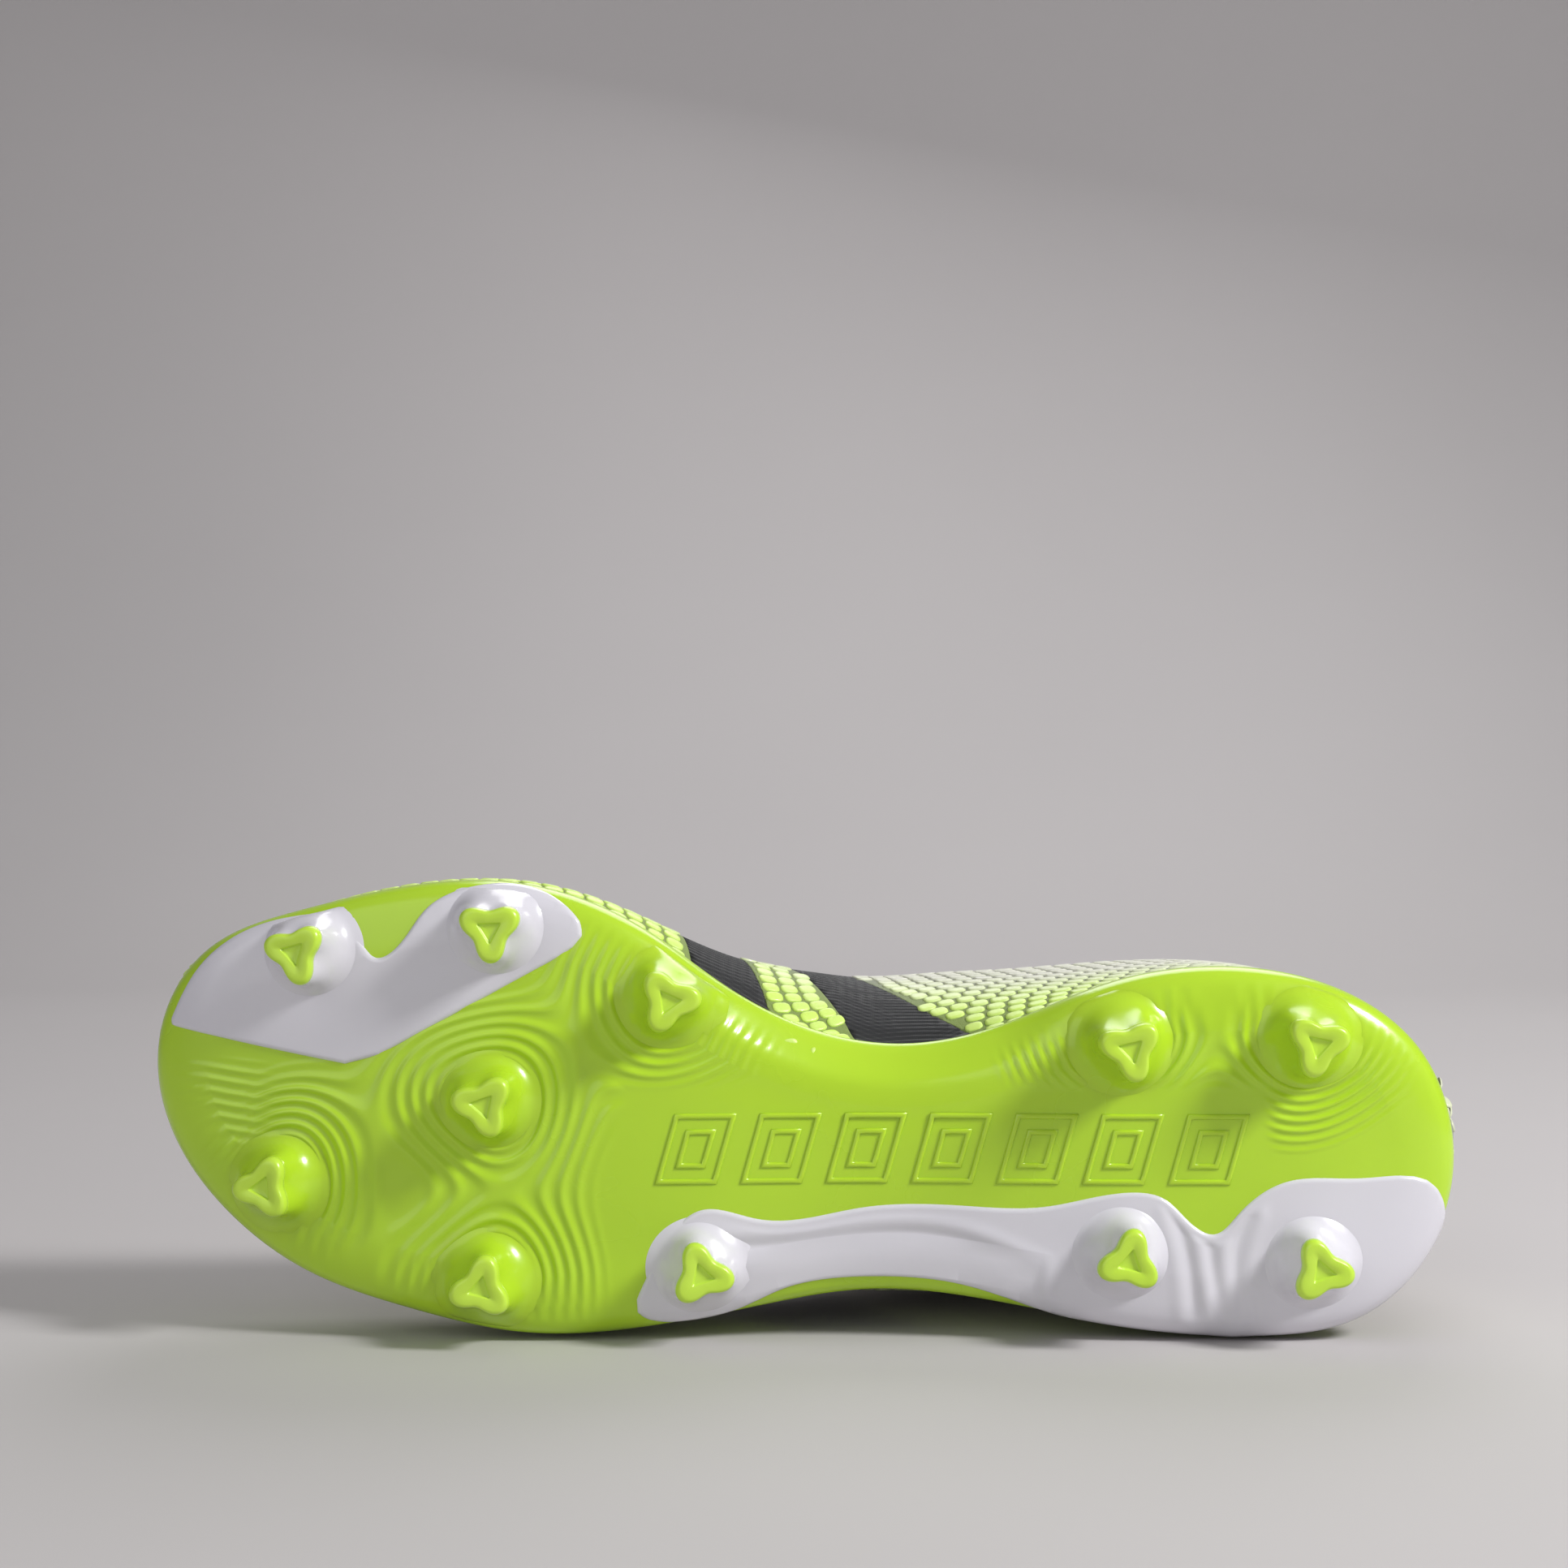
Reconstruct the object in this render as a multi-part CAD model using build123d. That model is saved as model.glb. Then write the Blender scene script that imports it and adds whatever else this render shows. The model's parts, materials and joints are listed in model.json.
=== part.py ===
"""Firm-ground football boot, right foot, lying on its lateral side.

X runs from toe (-) to heel (+), Y from the stud tips (-) to the ankle collar (+), and Z from the
lateral side, which rests on the floor, up to the medial side.
"""
import os
from math import atan2, degrees, exp, hypot

from build123d import *

# --- driving dimensions, mm -------------------------------------------------------------------
PLATE_T = 3.6            # outsole plate under the foot
RAND_T = 2.3             # turned-up side wall of the plate
RAND_H = 9.0             # height of the side wall above the plate's underside
INSERT_DEPTH = 1.0       # how far a white insert is let into the plate
INSERT_PROUD = 0.6       # how far it stands out of the plate
INSERT_WALL_H = 7.0      # how far the lateral insert climbs the side wall
TOE_SPRING = 13.0        # rise of the underside at the toe
TOE_SPRING_FROM = -60.0
ARCH_RISE = 3.0
ARCH_X = 15.0
ARCH_SPREAD = 35.0
HEEL_RISE = 2.5
HEEL_RISE_FROM = 105.0
HALF_LENGTH = 144.0      # half the length of the upper

STUD_BASE_R = 8.2
STUD_TOP_R = 6.1
STUD_H = 10.5            # forefoot stud, plate to tip
HEEL_STUD_H = 12.0
STUD_TIP_H = 2.4         # height of the separate tip
TIP_RECESS = 0.7
TIP_RECESS_R = 2.9
STUD_SKIRT = 2.4         # how much wider a stud is where it meets the plate
STUD_ROOT = 6.0          # how far its blank runs into the plate before it is trimmed
LOBE_CUT_R = 7.5         # scallops that leave three lobes
LOBE_CUT_AT = 10.2

SKIN_T = 1.4
LINING_T = 0.9
LAYER_GAP = 0.3          # clearance between skin and lining
CEMENT_GAP = 0.2         # clearance round the stiffeners and foams between them
TOE_PAD = 0.9            # extra room between skin and lining for the toe puff
HEEL_PAD = 2.7           # the same for the counter and the ankle foams
MARGIN_W = 13.0          # lasting margin: how far skin and lining turn in under the foot
MARGIN_H = 14.0          # below this height the layers are cut away inside the margin
BOARD_T = 1.5
FOAM_T = 3.5
COVER_T = 0.6
BOARD_GAP = 0.4          # clearance between the lining and the board, and under the foam
LINER_GAP = 1.3          # clearance round the sockliner
BINDING_H = 2.5          # folded trim on the collar's edge
ABOVE_PLATE = 3.8        # height at which the upper starts
SEAM_Z = 40.0            # medial and lateral halves meet here
FAR = 200.0

# Sole outline seen from below: (x, z), from the toe along the medial side to the heel and back.
SOLE_OUTLINE = [
    (-142.6, 56.0), (-139.5, 71.5), (-130.0, 83.0), (-111.0, 90.8), (-89.0, 96.0), (-67.0, 97.8),
    (-50.0, 94.6), (-33.0, 86.5), (-18.0, 75.8), (-2.0, 67.0), (20.0, 62.2), (42.0, 66.0),
    (66.0, 75.5), (92.0, 79.2), (117.0, 74.0), (133.0, 62.5), (140.5, 47.0), (141.0, 32.0),
    (134.0, 15.5), (120.0, 3.8), (100.0, 0.1), (70.0, 1.8), (42.0, 6.6), (15.0, 9.0),
    (-10.0, 5.5), (-35.0, 1.2), (-60.0, 0.2), (-85.0, 5.2), (-108.0, 12.8), (-126.0, 25.0),
    (-138.0, 40.0),
]

# The plate's cross-section beside its edge: distance in from the edge, height above the underside.
PLATE_EDGE = [(0.0, 13.0), (0.0, 6.0), (1.3, 3.0), (4.5, 1.2), (12.0, 0.3)]
PLATE_EDGE_REACH = 18.0
# Where the plate's cross-sections lie, as shares of its half length.
PLATE_SECTIONS = [
    -0.998, -0.985, -0.955, -0.91, -0.84, -0.74, -0.62, -0.49, -0.36, -0.25, -0.14, -0.02,
    0.12, 0.26, 0.4, 0.53, 0.66, 0.78, 0.87, 0.93, 0.965, 0.985, 0.998,
]

# White insert under the medial forefoot: two rounded bays for studs, a notch between them,
# and a straight inner side with one corner.
FOREFOOT_INSERT = [
    [(-139.0, 66.0), (-131.0, 80.0), (-120.0, 87.5), (-108.0, 90.5), (-99.5, 90.0), (-94.8, 84.5),
     (-91.5, 81.5), (-87.5, 83.5), (-81.0, 92.0), (-70.0, 97.0), (-58.0, 96.5), (-49.5, 91.5),
     (-47.0, 87.3), (-52.5, 81.5)],
    [(-52.5, 81.5), (-91.0, 60.5), (-98.5, 58.5)],
    [(-98.5, 58.5), (-118.0, 62.0), (-139.0, 66.0)],
]

# White insert under the lateral midfoot and heel, running out over the side wall.
LATERAL_INSERT = [
    (-35.9, 6.6), (-34.0, 12.0), (-29.0, 21.5), (-22.0, 27.4), (-10.0, 25.5), (12.0, 27.6),
    (35.0, 28.2), (52.0, 28.2), (68.0, 31.2), (77.5, 30.0), (83.5, 24.5), (88.0, 22.4),
    (93.0, 26.5), (104.0, 33.8), (120.0, 34.4), (136.0, 32.5), (139.0, 25.5), (134.0, 13.0),
    (121.0, 1.5), (100.0, -2.0), (72.0, -0.5), (56.0, 3.6), (34.0, 10.9), (15.0, 12.5),
    (-4.0, 10.0), (-20.0, 3.6),
]

# name: (x, z, angle of one lobe in degrees, carrier)
STUDS = {
    "medial_front": (-106.2, 83.0, -76.0, "forefoot_insert"),
    "medial_mid": (-65.8, 88.0, -88.0, "forefoot_insert"),
    "medial_rear": (-28.8, 73.0, 6.0, "outsole_plate"),
    "centre": (-67.1, 51.1, -71.0, "outsole_plate"),
    "lateral_front": (-112.9, 32.9, 66.0, "outsole_plate"),
    "lateral_mid": (-67.6, 12.6, 78.0, "outsole_plate"),
    "lateral_rear": (-21.9, 15.2, 108.0, "lateral_insert"),
    "heel_medial_front": (68.8, 63.0, -77.0, "outsole_plate"),
    "heel_medial_rear": (108.1, 64.0, 18.0, "outsole_plate"),
    "heel_lateral_front": (68.6, 18.4, 79.0, "lateral_insert"),
    "heel_lateral_rear": (108.9, 16.5, 111.0, "lateral_insert"),
}
HEEL_STUDS_FROM = 0.0

# Cross-sections of the upper, across its length. Heights are above the plate's underside there:
# x, base height, base lateral and medial z, bulge height, lateral, medial,
# shoulder height, lateral, medial, top height, top z.
STATIONS = [
    (-143.8, 7, 50, 63, 15, 49.5, 63.5, 19, 51, 62, 22, 56.5),
    (-141.0, 3.8, 43, 70, 15, 41.5, 71.5, 24, 45, 68, 28, 57),
    (-136.0, 3.8, 35, 77, 16, 33.5, 78.5, 28, 40, 73, 33, 57),
    (-126.0, 3.8, 27.5, 82.5, 17, 25.5, 84.5, 31, 34, 78, 37, 57),
    (-110.0, 3.8, 16.5, 88, 17, 14.5, 90.5, 34, 25, 83, 41, 56),
    (-88.0, 3.8, 9, 93.5, 18, 6.5, 96, 37, 18, 86, 46, 55),
    (-62.0, 3.8, 3.5, 95, 19, 2, 97, 41, 14, 84, 53, 52),
    (-38.0, 3.8, 4.5, 86.5, 22, 2, 90, 48, 13, 76, 62, 49),
    (-16.0, 3.8, 7, 72, 27, 2.5, 80, 56, 12, 69, 71, 45),
    (2.0, 3.8, 10, 63.5, 32, 3, 75.5, 64, 11, 66, 80, 42),
    (16.0, 3.8, 12, 60, 34, 3.5, 73, 74, 9, 66, 90, 40),
    (32.0, 3.8, 11, 61, 36, 3, 72.5, 82, 6, 68, 97, 38.5),
    (52.0, 3.8, 7, 67.5, 36, 2, 73.5, 82, 2, 70, 98, 37.5),
    (76.0, 3.8, 4, 74.5, 34, 1, 76, 80, 1.5, 72, 98, 37.5),
    (98.0, 3.8, 3, 76, 30, 1, 77.5, 82, 4, 69.5, 99, 37.5),
    (118.0, 3.8, 7, 71, 29, 5, 72, 86, 12, 63, 102, 38),
    (131.0, 3.8, 15.5, 62, 28, 13, 64, 88, 22, 55, 102, 38.5),
    (137.5, 3.8, 24, 54, 27, 21, 57.5, 78, 27, 52, 92, 39),
    (141.5, 5, 31, 49, 27, 28, 52, 54, 30, 49, 66, 40),
    (144.0, 14, 37, 44, 27, 36, 45, 37, 37, 44, 42, 40.5),
]

# Side-view lines (x, y). The topline is the collar's edge, from the instep back to the heel.
TOPLINE = [
    (4, 103), (16, 94.5), (30, 87), (54, 80), (78, 78), (100, 80), (120, 86), (135, 92), (150, 97),
]
CUFF_LINE = [
    (-6, 103), (8, 88), (24, 76), (50, 67.5), (78, 65), (100, 67), (120, 72.5), (135, 78), (150, 82),
]
KNIT_FRONT_MEDIAL = [(-23, -5), (-23, 8), (-30, 38), (-42, 72), (-42, 120)]
KNIT_REAR_MEDIAL = [(43, -5), (43, 8), (15, 38), (6, 58), (4, 120)]
KNIT_FRONT_LATERAL = [(-1, -5), (-1, 8), (-12, 30), (-42, 72), (-42, 120)]
KNIT_REAR_LATERAL = [(34, -5), (34, 8), (14, 40), (6, 58), (4, 120)]
WEDGE = [(-5, -5), (-5, 8), (-16, 38), (-24, 62), (-4, 38), (16, 8), (16, -5)]
TOE_PUFF_TO = -108.0
COUNTER_LINE = [(74, 0), (86, 34), (104, 50), (150, 52)]
FOAM_LINE = [(44, 120), (44, 54), (72, 48), (102, 54), (128, 64), (128, 120)]

TAB_W = 12.0
TAB_T = 2.4
TAB_FOOT = (141.9, 77.0)     # hinge line of the pull tab, in side view
TAB_TOP = (137.9, 103.0)
ANCHOR_FOOT = (143.4, 61.0)  # the patch that holds the tab's end
ANCHOR_TOP = (142.5, 71.5)


# --- shared curves ----------------------------------------------------------------------------
def underside(x):
    """Height of the plate's underside along the boot: arch, toe spring and heel rise."""
    toe = max(0.0, (TOE_SPRING_FROM - x) / 82.0)
    heel = max(0.0, (x - HEEL_RISE_FROM) / 36.0)
    arch = exp(-(((x - ARCH_X) / ARCH_SPREAD) ** 2))
    return TOE_SPRING * toe**2 + ARCH_RISE * arch + HEEL_RISE * heel**2


def smooth(value, start, end):
    """0 before start, 1 after end, with an even slope between."""
    t = min(max((value - start) / (end - start), 0.0), 1.0)
    return t * t * (3 - 2 * t)


def lining_depth(x):
    """How far inside the boot's outer surface the lining's outer face lies."""
    pads = TOE_PAD * smooth(-x, 90, 112) + HEEL_PAD * smooth(x, 20, 72)
    return SKIN_T + LAYER_GAP + pads


def foot_base(x):
    """Height of the lining's inner floor."""
    return underside(x) + ABOVE_PLATE + lining_depth(x) + LINING_T


def outline(inset=0.0):
    """The sole outline moved inwards, as points."""
    count = len(SOLE_OUTLINE)
    points = []
    for i, (x, z) in enumerate(SOLE_OUTLINE):
        xa, za = SOLE_OUTLINE[i - 1]
        xb, zb = SOLE_OUTLINE[(i + 1) % count]
        length = hypot(xb - xa, zb - za)
        points.append((x + (zb - za) / length * inset, z - (xb - xa) / length * inset))
    return points


# --- shared solids ----------------------------------------------------------------------------
def upright(edges_at, low, high):
    """A prism along Y from closed edges made at height low."""
    return extrude(make_face(edges_at(low)), amount=high - low, dir=(0, 1, 0))


def outline_prism(inset, low=-40.0, high=FAR):
    return upright(lambda y: [Spline(*[(x, y, z) for x, z in outline(inset)], periodic=True)], low, high)


def insert_prism(name, low=-40.0, high=60.0):
    """The insert's outline as a prism."""
    def edges(y):
        if name == "lateral_insert":
            return [Spline(*[(x, y, z) for x, z in LATERAL_INSERT], periodic=True)]
        return [Spline(*[(x, y, z) for x, z in run]) for run in FOREFOOT_INSERT]
    return upright(edges, low, high)


def band(low, high, base=underside):
    """Everything between two heights above a curve, such as the plate's underside."""
    xs = [-160, -144, -130, -115, -100, -82, -65, -45, -25, -5, 15, 35, 55, 75, 95, 115, 130, 145, 160]
    floor = Spline(*[(x, base(x) + low, -40) for x in xs])
    roof = Spline(*[(x, base(x) + high, -40) for x in xs])
    sides = [Line(floor @ 1, roof @ 1), Line(roof @ 0, floor @ 0)]
    return extrude(make_face([floor, roof] + sides), amount=FAR, dir=(0, 0, 1))


def side_region(points, z_from=-40.0, z_to=160.0):
    """A polygon drawn in side view, as a prism across the boot."""
    corners = [(x, y, z_from) for x, y in points]
    return extrude(make_face(Polyline(*corners, close=True)), amount=z_to - z_from, dir=(0, 0, 1))


def above(line, drop=0.0):
    """Everything above a smooth side-view line."""
    edge = Spline(*[(x, y - drop, -40) for x, y in line])
    (x0, y0), (x1, y1) = line[0], line[-1]
    rest = Polyline((x1, y1 - drop, -40), (x1, FAR, -40), (x0, FAR, -40), (x0, y0 - drop, -40))
    return extrude(make_face([edge, rest]), amount=FAR, dir=(0, 0, 1))


def shrunk(low, high, depth):
    """A span moved inwards by depth at both ends, which never turns inside out."""
    centre, half = (low + high) / 2, (high - low) / 2
    half = half * half / (half + depth)
    return centre - half, centre + half


def section_points(row, depth):
    """Ten points of one closed cross-section of the upper, depth inside its outer surface."""
    x, base_y, base_l, base_m, bulge_y, bulge_l, bulge_m, should_y, should_l, should_m, top_y, top_z = row
    at = x * (1 - depth / HALF_LENGTH)
    low, high = shrunk(base_y, top_y, depth)

    def height(y):
        return underside(x) + low + (y - base_y) / (top_y - base_y) * (high - low)

    base = shrunk(base_l, base_m, depth)
    bulge = shrunk(bulge_l, bulge_m, depth)
    shoulder = shrunk(should_l, should_m, depth)
    corner = min(5.0, 0.25 * (base[1] - base[0]))
    return [
        (at, height(base_y), (base[0] + base[1]) / 2),
        (at, height(base_y), base[0] + corner),
        (at, height(base_y + 5), base[0]),
        (at, height(bulge_y), bulge[0]),
        (at, height(should_y), shoulder[0]),
        (at, height(top_y), top_z),
        (at, height(should_y), shoulder[1]),
        (at, height(bulge_y), bulge[1]),
        (at, height(base_y + 5), base[1]),
        (at, height(base_y), base[1] - corner),
    ]


def section(row, depth):
    """The cross-section as a polygon: the ten points and a rounded midpoint between each two."""
    points = section_points(row, depth)
    count = len(points)
    corners = []
    for i in range(count):
        before, start, end, after = (points[(i + k) % count] for k in (-1, 0, 1, 2))
        corners.append(start)
        corners.append(tuple((9 * (start[k] + end[k]) - before[k] - after[k]) / 16 for k in range(3)))
    return make_face(Polyline(*corners, close=True))


def body(depth):
    """The solid that lies depth inside the upper's outer surface; depth is a number or a function of x."""
    at = depth if callable(depth) else (lambda x: depth)
    return loft([section(row, at(row[0])) for row in STATIONS])


# --- outsole ----------------------------------------------------------------------------------
def plate_blank(side=0.0, bottom=0.0):
    """The plate's outer form, solid, moved inwards at its side wall and at its underside."""
    edge = Spline(*[(x, 0, z) for x, z in outline(side)], periodic=True)
    samples = [edge @ (i / 600) for i in range(601)]
    low_x = min(point.X for point in samples)
    high_x = max(point.X for point in samples)
    middle, half = (low_x + high_x) / 2, (high_x - low_x) / 2
    faces = []
    for share in PLATE_SECTIONS:
        x = middle + share * half
        crossings = []
        for a, b in zip(samples, samples[1:]):
            if (a.X - x) * (b.X - x) <= 0 and a.X != b.X:
                crossings.append(a.Z + (x - a.X) / (b.X - a.X) * (b.Z - a.Z))
        low_z, high_z = min(crossings), max(crossings)
        reach = (high_z - low_z) / 2
        rim = [(min(inset, inset / PLATE_EDGE_REACH * reach), height) for inset, height in PLATE_EDGE]
        lateral = [(x, underside(x) + height + bottom, low_z + inset) for inset, height in rim]
        medial = [(x, underside(x) + height + bottom, high_z - inset) for inset, height in rim]
        base = (x, underside(x) + bottom, (low_z + high_z) / 2)
        faces.append(make_face(Polyline(*(lateral + [base] + medial[::-1]), close=True)))
    return loft(faces) & band(-5.0, RAND_H)


def stud_height(x):
    """Heel studs all end on one plane, so the boot can stand."""
    return HEEL_STUD_H + underside(x) if x > HEEL_STUDS_FROM else STUD_H


def stud(name):
    """One stud's body and its separate tip, pointing away from the plate."""
    x, z, lobe, _ = STUDS[name]
    height = stud_height(x)
    wide = STUD_BASE_R + STUD_SKIRT
    profile = Polyline((0, -STUD_ROOT), (wide, -STUD_ROOT), (wide, 0))
    flank = Spline(
        (wide, 0), (STUD_BASE_R, 2.2), (STUD_TOP_R + 0.7, height * 0.55), (STUD_TOP_R, height),
        tangents=[(-1, 0.35), (0, 1)],
    )
    close = Polyline((STUD_TOP_R, height), (0, height), (0, -STUD_ROOT))
    blank = revolve(Plane.XZ * make_face([profile, flank, close]), axis=Axis.Z)
    for turn in (60, 180, 300):
        scallop = Pos(LOBE_CUT_AT, 0, height / 2 + 2) * Cone(LOBE_CUT_R - 3.5, LOBE_CUT_R + 0.6, height)
        blank -= Rot(0, 0, turn) * scallop
    slope = (underside(x + 1) - underside(x - 1)) / 2
    tilt = 0.0 if x > HEEL_STUDS_FROM else degrees(atan2(slope, 1))
    # local Z becomes the outward normal; local X stays along the boot, so a lobe angle reads as seen
    place = Pos(x, underside(x), z) * Rot(0, 0, tilt) * Rot(90, 0, 0) * Rot(0, 0, lobe)
    cut = Pos(0, 0, height - STUD_TIP_H)
    upper_half = cut * Cylinder(3 * wide, 3 * wide, align=(Align.CENTER, Align.CENTER, Align.MIN))
    tip = blank & upper_half
    recess = RegularPolygon(TIP_RECESS_R, 3, major_radius=True, rotation=0)
    recess = extrude(Pos(0, 0, height - TIP_RECESS) * recess, TIP_RECESS + 1)
    return place * (blank - upper_half), place * (tip - recess)


def outsole():
    """The plate, its two inserts and the stud tips, by node name."""
    hollow = outline_prism(RAND_T) & band(PLATE_T, FAR)
    plate = plate_blank() - hollow
    core = plate_blank(INSERT_DEPTH, INSERT_DEPTH)
    proud = plate_blank(0.0, -INSERT_PROUD)
    low_zone = band(-30.0, INSERT_WALL_H)
    nodes = {}
    for name in ("forefoot_insert", "lateral_insert"):
        zone = (insert_prism(name) & low_zone) - core
        plate -= zone
        nodes[name] = proud & zone
    inside_plate = band(PLATE_T - 1.2, FAR)
    inside_insert = band(INSERT_DEPTH - 0.4, FAR)
    plate_studs = []
    for name, spec in STUDS.items():
        carrier = spec[3]
        stud_body, nodes["stud_tip_" + name] = stud(name)
        if carrier == "outsole_plate":
            plate_studs.append(stud_body - inside_plate)
        else:
            own = stud_body - inside_insert - core
            nodes[carrier] += own
            plate -= own
    nodes["outsole_plate"] = plate.fuse(*[s for body_ in plate_studs for s in body_.solids()])
    return nodes


# --- upper ------------------------------------------------------------------------------------
def knit_region():
    """The saddle of black knit: medial half and lateral half."""
    medial = side_region(KNIT_FRONT_MEDIAL + KNIT_REAR_MEDIAL[::-1], z_from=SEAM_Z)
    lateral = side_region(KNIT_FRONT_LATERAL + KNIT_REAR_LATERAL[::-1], z_to=SEAM_Z)
    return medial + lateral


def toe_region():
    ahead = [(-160, 120), (-160, -5)]
    medial = side_region(ahead + KNIT_FRONT_MEDIAL, z_from=SEAM_Z)
    lateral = side_region(ahead + KNIT_FRONT_LATERAL, z_to=SEAM_Z)
    return medial + lateral


def quarter_region(rear_line, z_from, z_to):
    return side_region(rear_line + [(160, 120), (160, -5)], z_from, z_to)


def turned_in():
    """What is cut from under the foot, leaving the lasting margins."""
    return outline_prism(MARGIN_W) & band(0.0, MARGIN_H)


def rand_space():
    """The space that the plate's side wall takes, with clearance, cut from the upper's layers."""
    wall = outline_prism(-6.0) - outline_prism(RAND_T + 0.1)
    below = band(-30.0, ABOVE_PLATE - 0.1)
    return (wall & band(-30.0, RAND_H + 0.15)) + below


def upper():
    """Skins, linings and stiffeners, by node name."""
    outer = body(0.0)
    rand = rand_space()
    below_binding = above(TOPLINE, BINDING_H + 0.1)
    below_edge = above(TOPLINE)
    under_foot = turned_in()
    cuff_zone = above(CUFF_LINE)

    skin = outer - body(SKIN_T) - rand - below_binding - under_foot
    lining_core = body(lambda x: lining_depth(x) + LINING_T)
    lining = body(lining_depth) - lining_core - rand - below_binding - under_foot
    padding_core = body(lambda x: max(lining_depth(x) - CEMENT_GAP, SKIN_T + 2 * LAYER_GAP))
    padding = body(SKIN_T + CEMENT_GAP) - padding_core - rand - under_foot

    binding_zone = above(TOPLINE, BINDING_H) - below_edge
    nodes = {"collar_binding": (outer - lining_core) & binding_zone}
    nodes["collar_cuff"] = skin & cuff_zone
    skin = skin - cuff_zone
    wedge = side_region(WEDGE, z_from=SEAM_Z)
    nodes["medial_scale_wedge"] = skin & wedge
    nodes["midfoot_knit"] = (skin & knit_region()) - wedge
    nodes["forefoot_skin"] = skin & toe_region()
    nodes["medial_quarter_skin"] = skin & quarter_region(KNIT_REAR_MEDIAL, SEAM_Z, 160.0)
    nodes["lateral_quarter_skin"] = skin & quarter_region(KNIT_REAR_LATERAL, -40.0, SEAM_Z)

    front = side_region([(-160, -10), (-160, 130), (10, 130), (10, -10)])
    nodes["vamp_lining"] = lining & front
    nodes["quarter_lining"] = lining - front
    toe = side_region([(-160, -10), (-160, 130), (TOE_PUFF_TO, 130), (TOE_PUFF_TO, -10)])
    nodes["toe_puff"] = (padding & toe) - band(-30.0, RAND_H)
    nodes["heel_counter"] = (padding & side_region(COUNTER_LINE + [(150, 0)])) - band(-30.0, RAND_H + 0.5)
    foam = (padding & side_region(FOAM_LINE)) - above(TOPLINE, BINDING_H + 0.4)
    rear = [(0, 0), (160, 0), (160, 130), (0, 130)]
    nodes["medial_ankle_foam"] = foam & side_region(rear, z_from=SEAM_Z + CEMENT_GAP)
    nodes["lateral_ankle_foam"] = foam & side_region(rear, z_to=SEAM_Z - CEMENT_GAP)
    return nodes


def insole():
    """Lasting board and the two layers of the sockliner."""
    board_form = body(lambda x: lining_depth(x) + LINING_T + BOARD_GAP)
    liner_form = body(lambda x: lining_depth(x) + LINING_T + LINER_GAP)
    board_low = 0.3
    foam_low = board_low + BOARD_T + BOARD_GAP
    foam_high = foam_low + FOAM_T
    return {
        "lasting_board": board_form & band(board_low, board_low + BOARD_T, foot_base),
        "sockliner_foam": liner_form & band(foam_low, foam_high, foot_base),
        "sockliner_cover": liner_form & band(foam_high, foam_high + COVER_T, foot_base),
    }


def strip(foot, top, thickness, width, clear_of):
    """A flat webbing strip behind the heel, from foot to top in side view."""
    length = hypot(top[0] - foot[0], top[1] - foot[1])
    angle = degrees(atan2(top[1] - foot[1], top[0] - foot[0]))
    blank = Box(length + thickness, thickness, width)
    blank = fillet(blank.edges().filter_by(Axis.Z), thickness * 0.45)
    centre = Pos((foot[0] + top[0]) / 2, (foot[1] + top[1]) / 2, SEAM_Z)
    return (centre * Rot(0, 0, angle) * blank) - clear_of


def heel_tab():
    return {
        "heel_pull_tab": strip(TAB_FOOT, TAB_TOP, TAB_T, TAB_W, body(-0.4)),
        "heel_tab_anchor": strip(ANCHOR_FOOT, ANCHOR_TOP, TAB_T, TAB_W + 4, body(-0.1)),
    }


def build():
    nodes = outsole()
    nodes.update(upper())
    nodes.update(insole())
    nodes.update(heel_tab())
    return nodes


def main():
    os.makedirs("parts", exist_ok=True)
    nodes = build()
    box = Compound(children=[s for shape in nodes.values() for s in shape.solids()]).bounding_box()
    shift = Pos(-box.center().X, -box.center().Y, -box.min.Z)
    print("shift", -box.center().X, -box.center().Y, -box.min.Z, "size", box.size)
    for name, shape in nodes.items():
        export_step(shift * shape, f"parts/{name}.step")


main()
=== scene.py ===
"""The finished looks of a firm-ground soccer cleat, right foot, lying on its lateral side.

Shapes are worked out in the boot's own millimetres, as its CAD has them (X toe to heel, Y sole to
collar, Z lateral to medial), and moved into the row frame by one shift read from a mount.
"""
import json
from math import atan2, cos, pi, radians, sin

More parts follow.
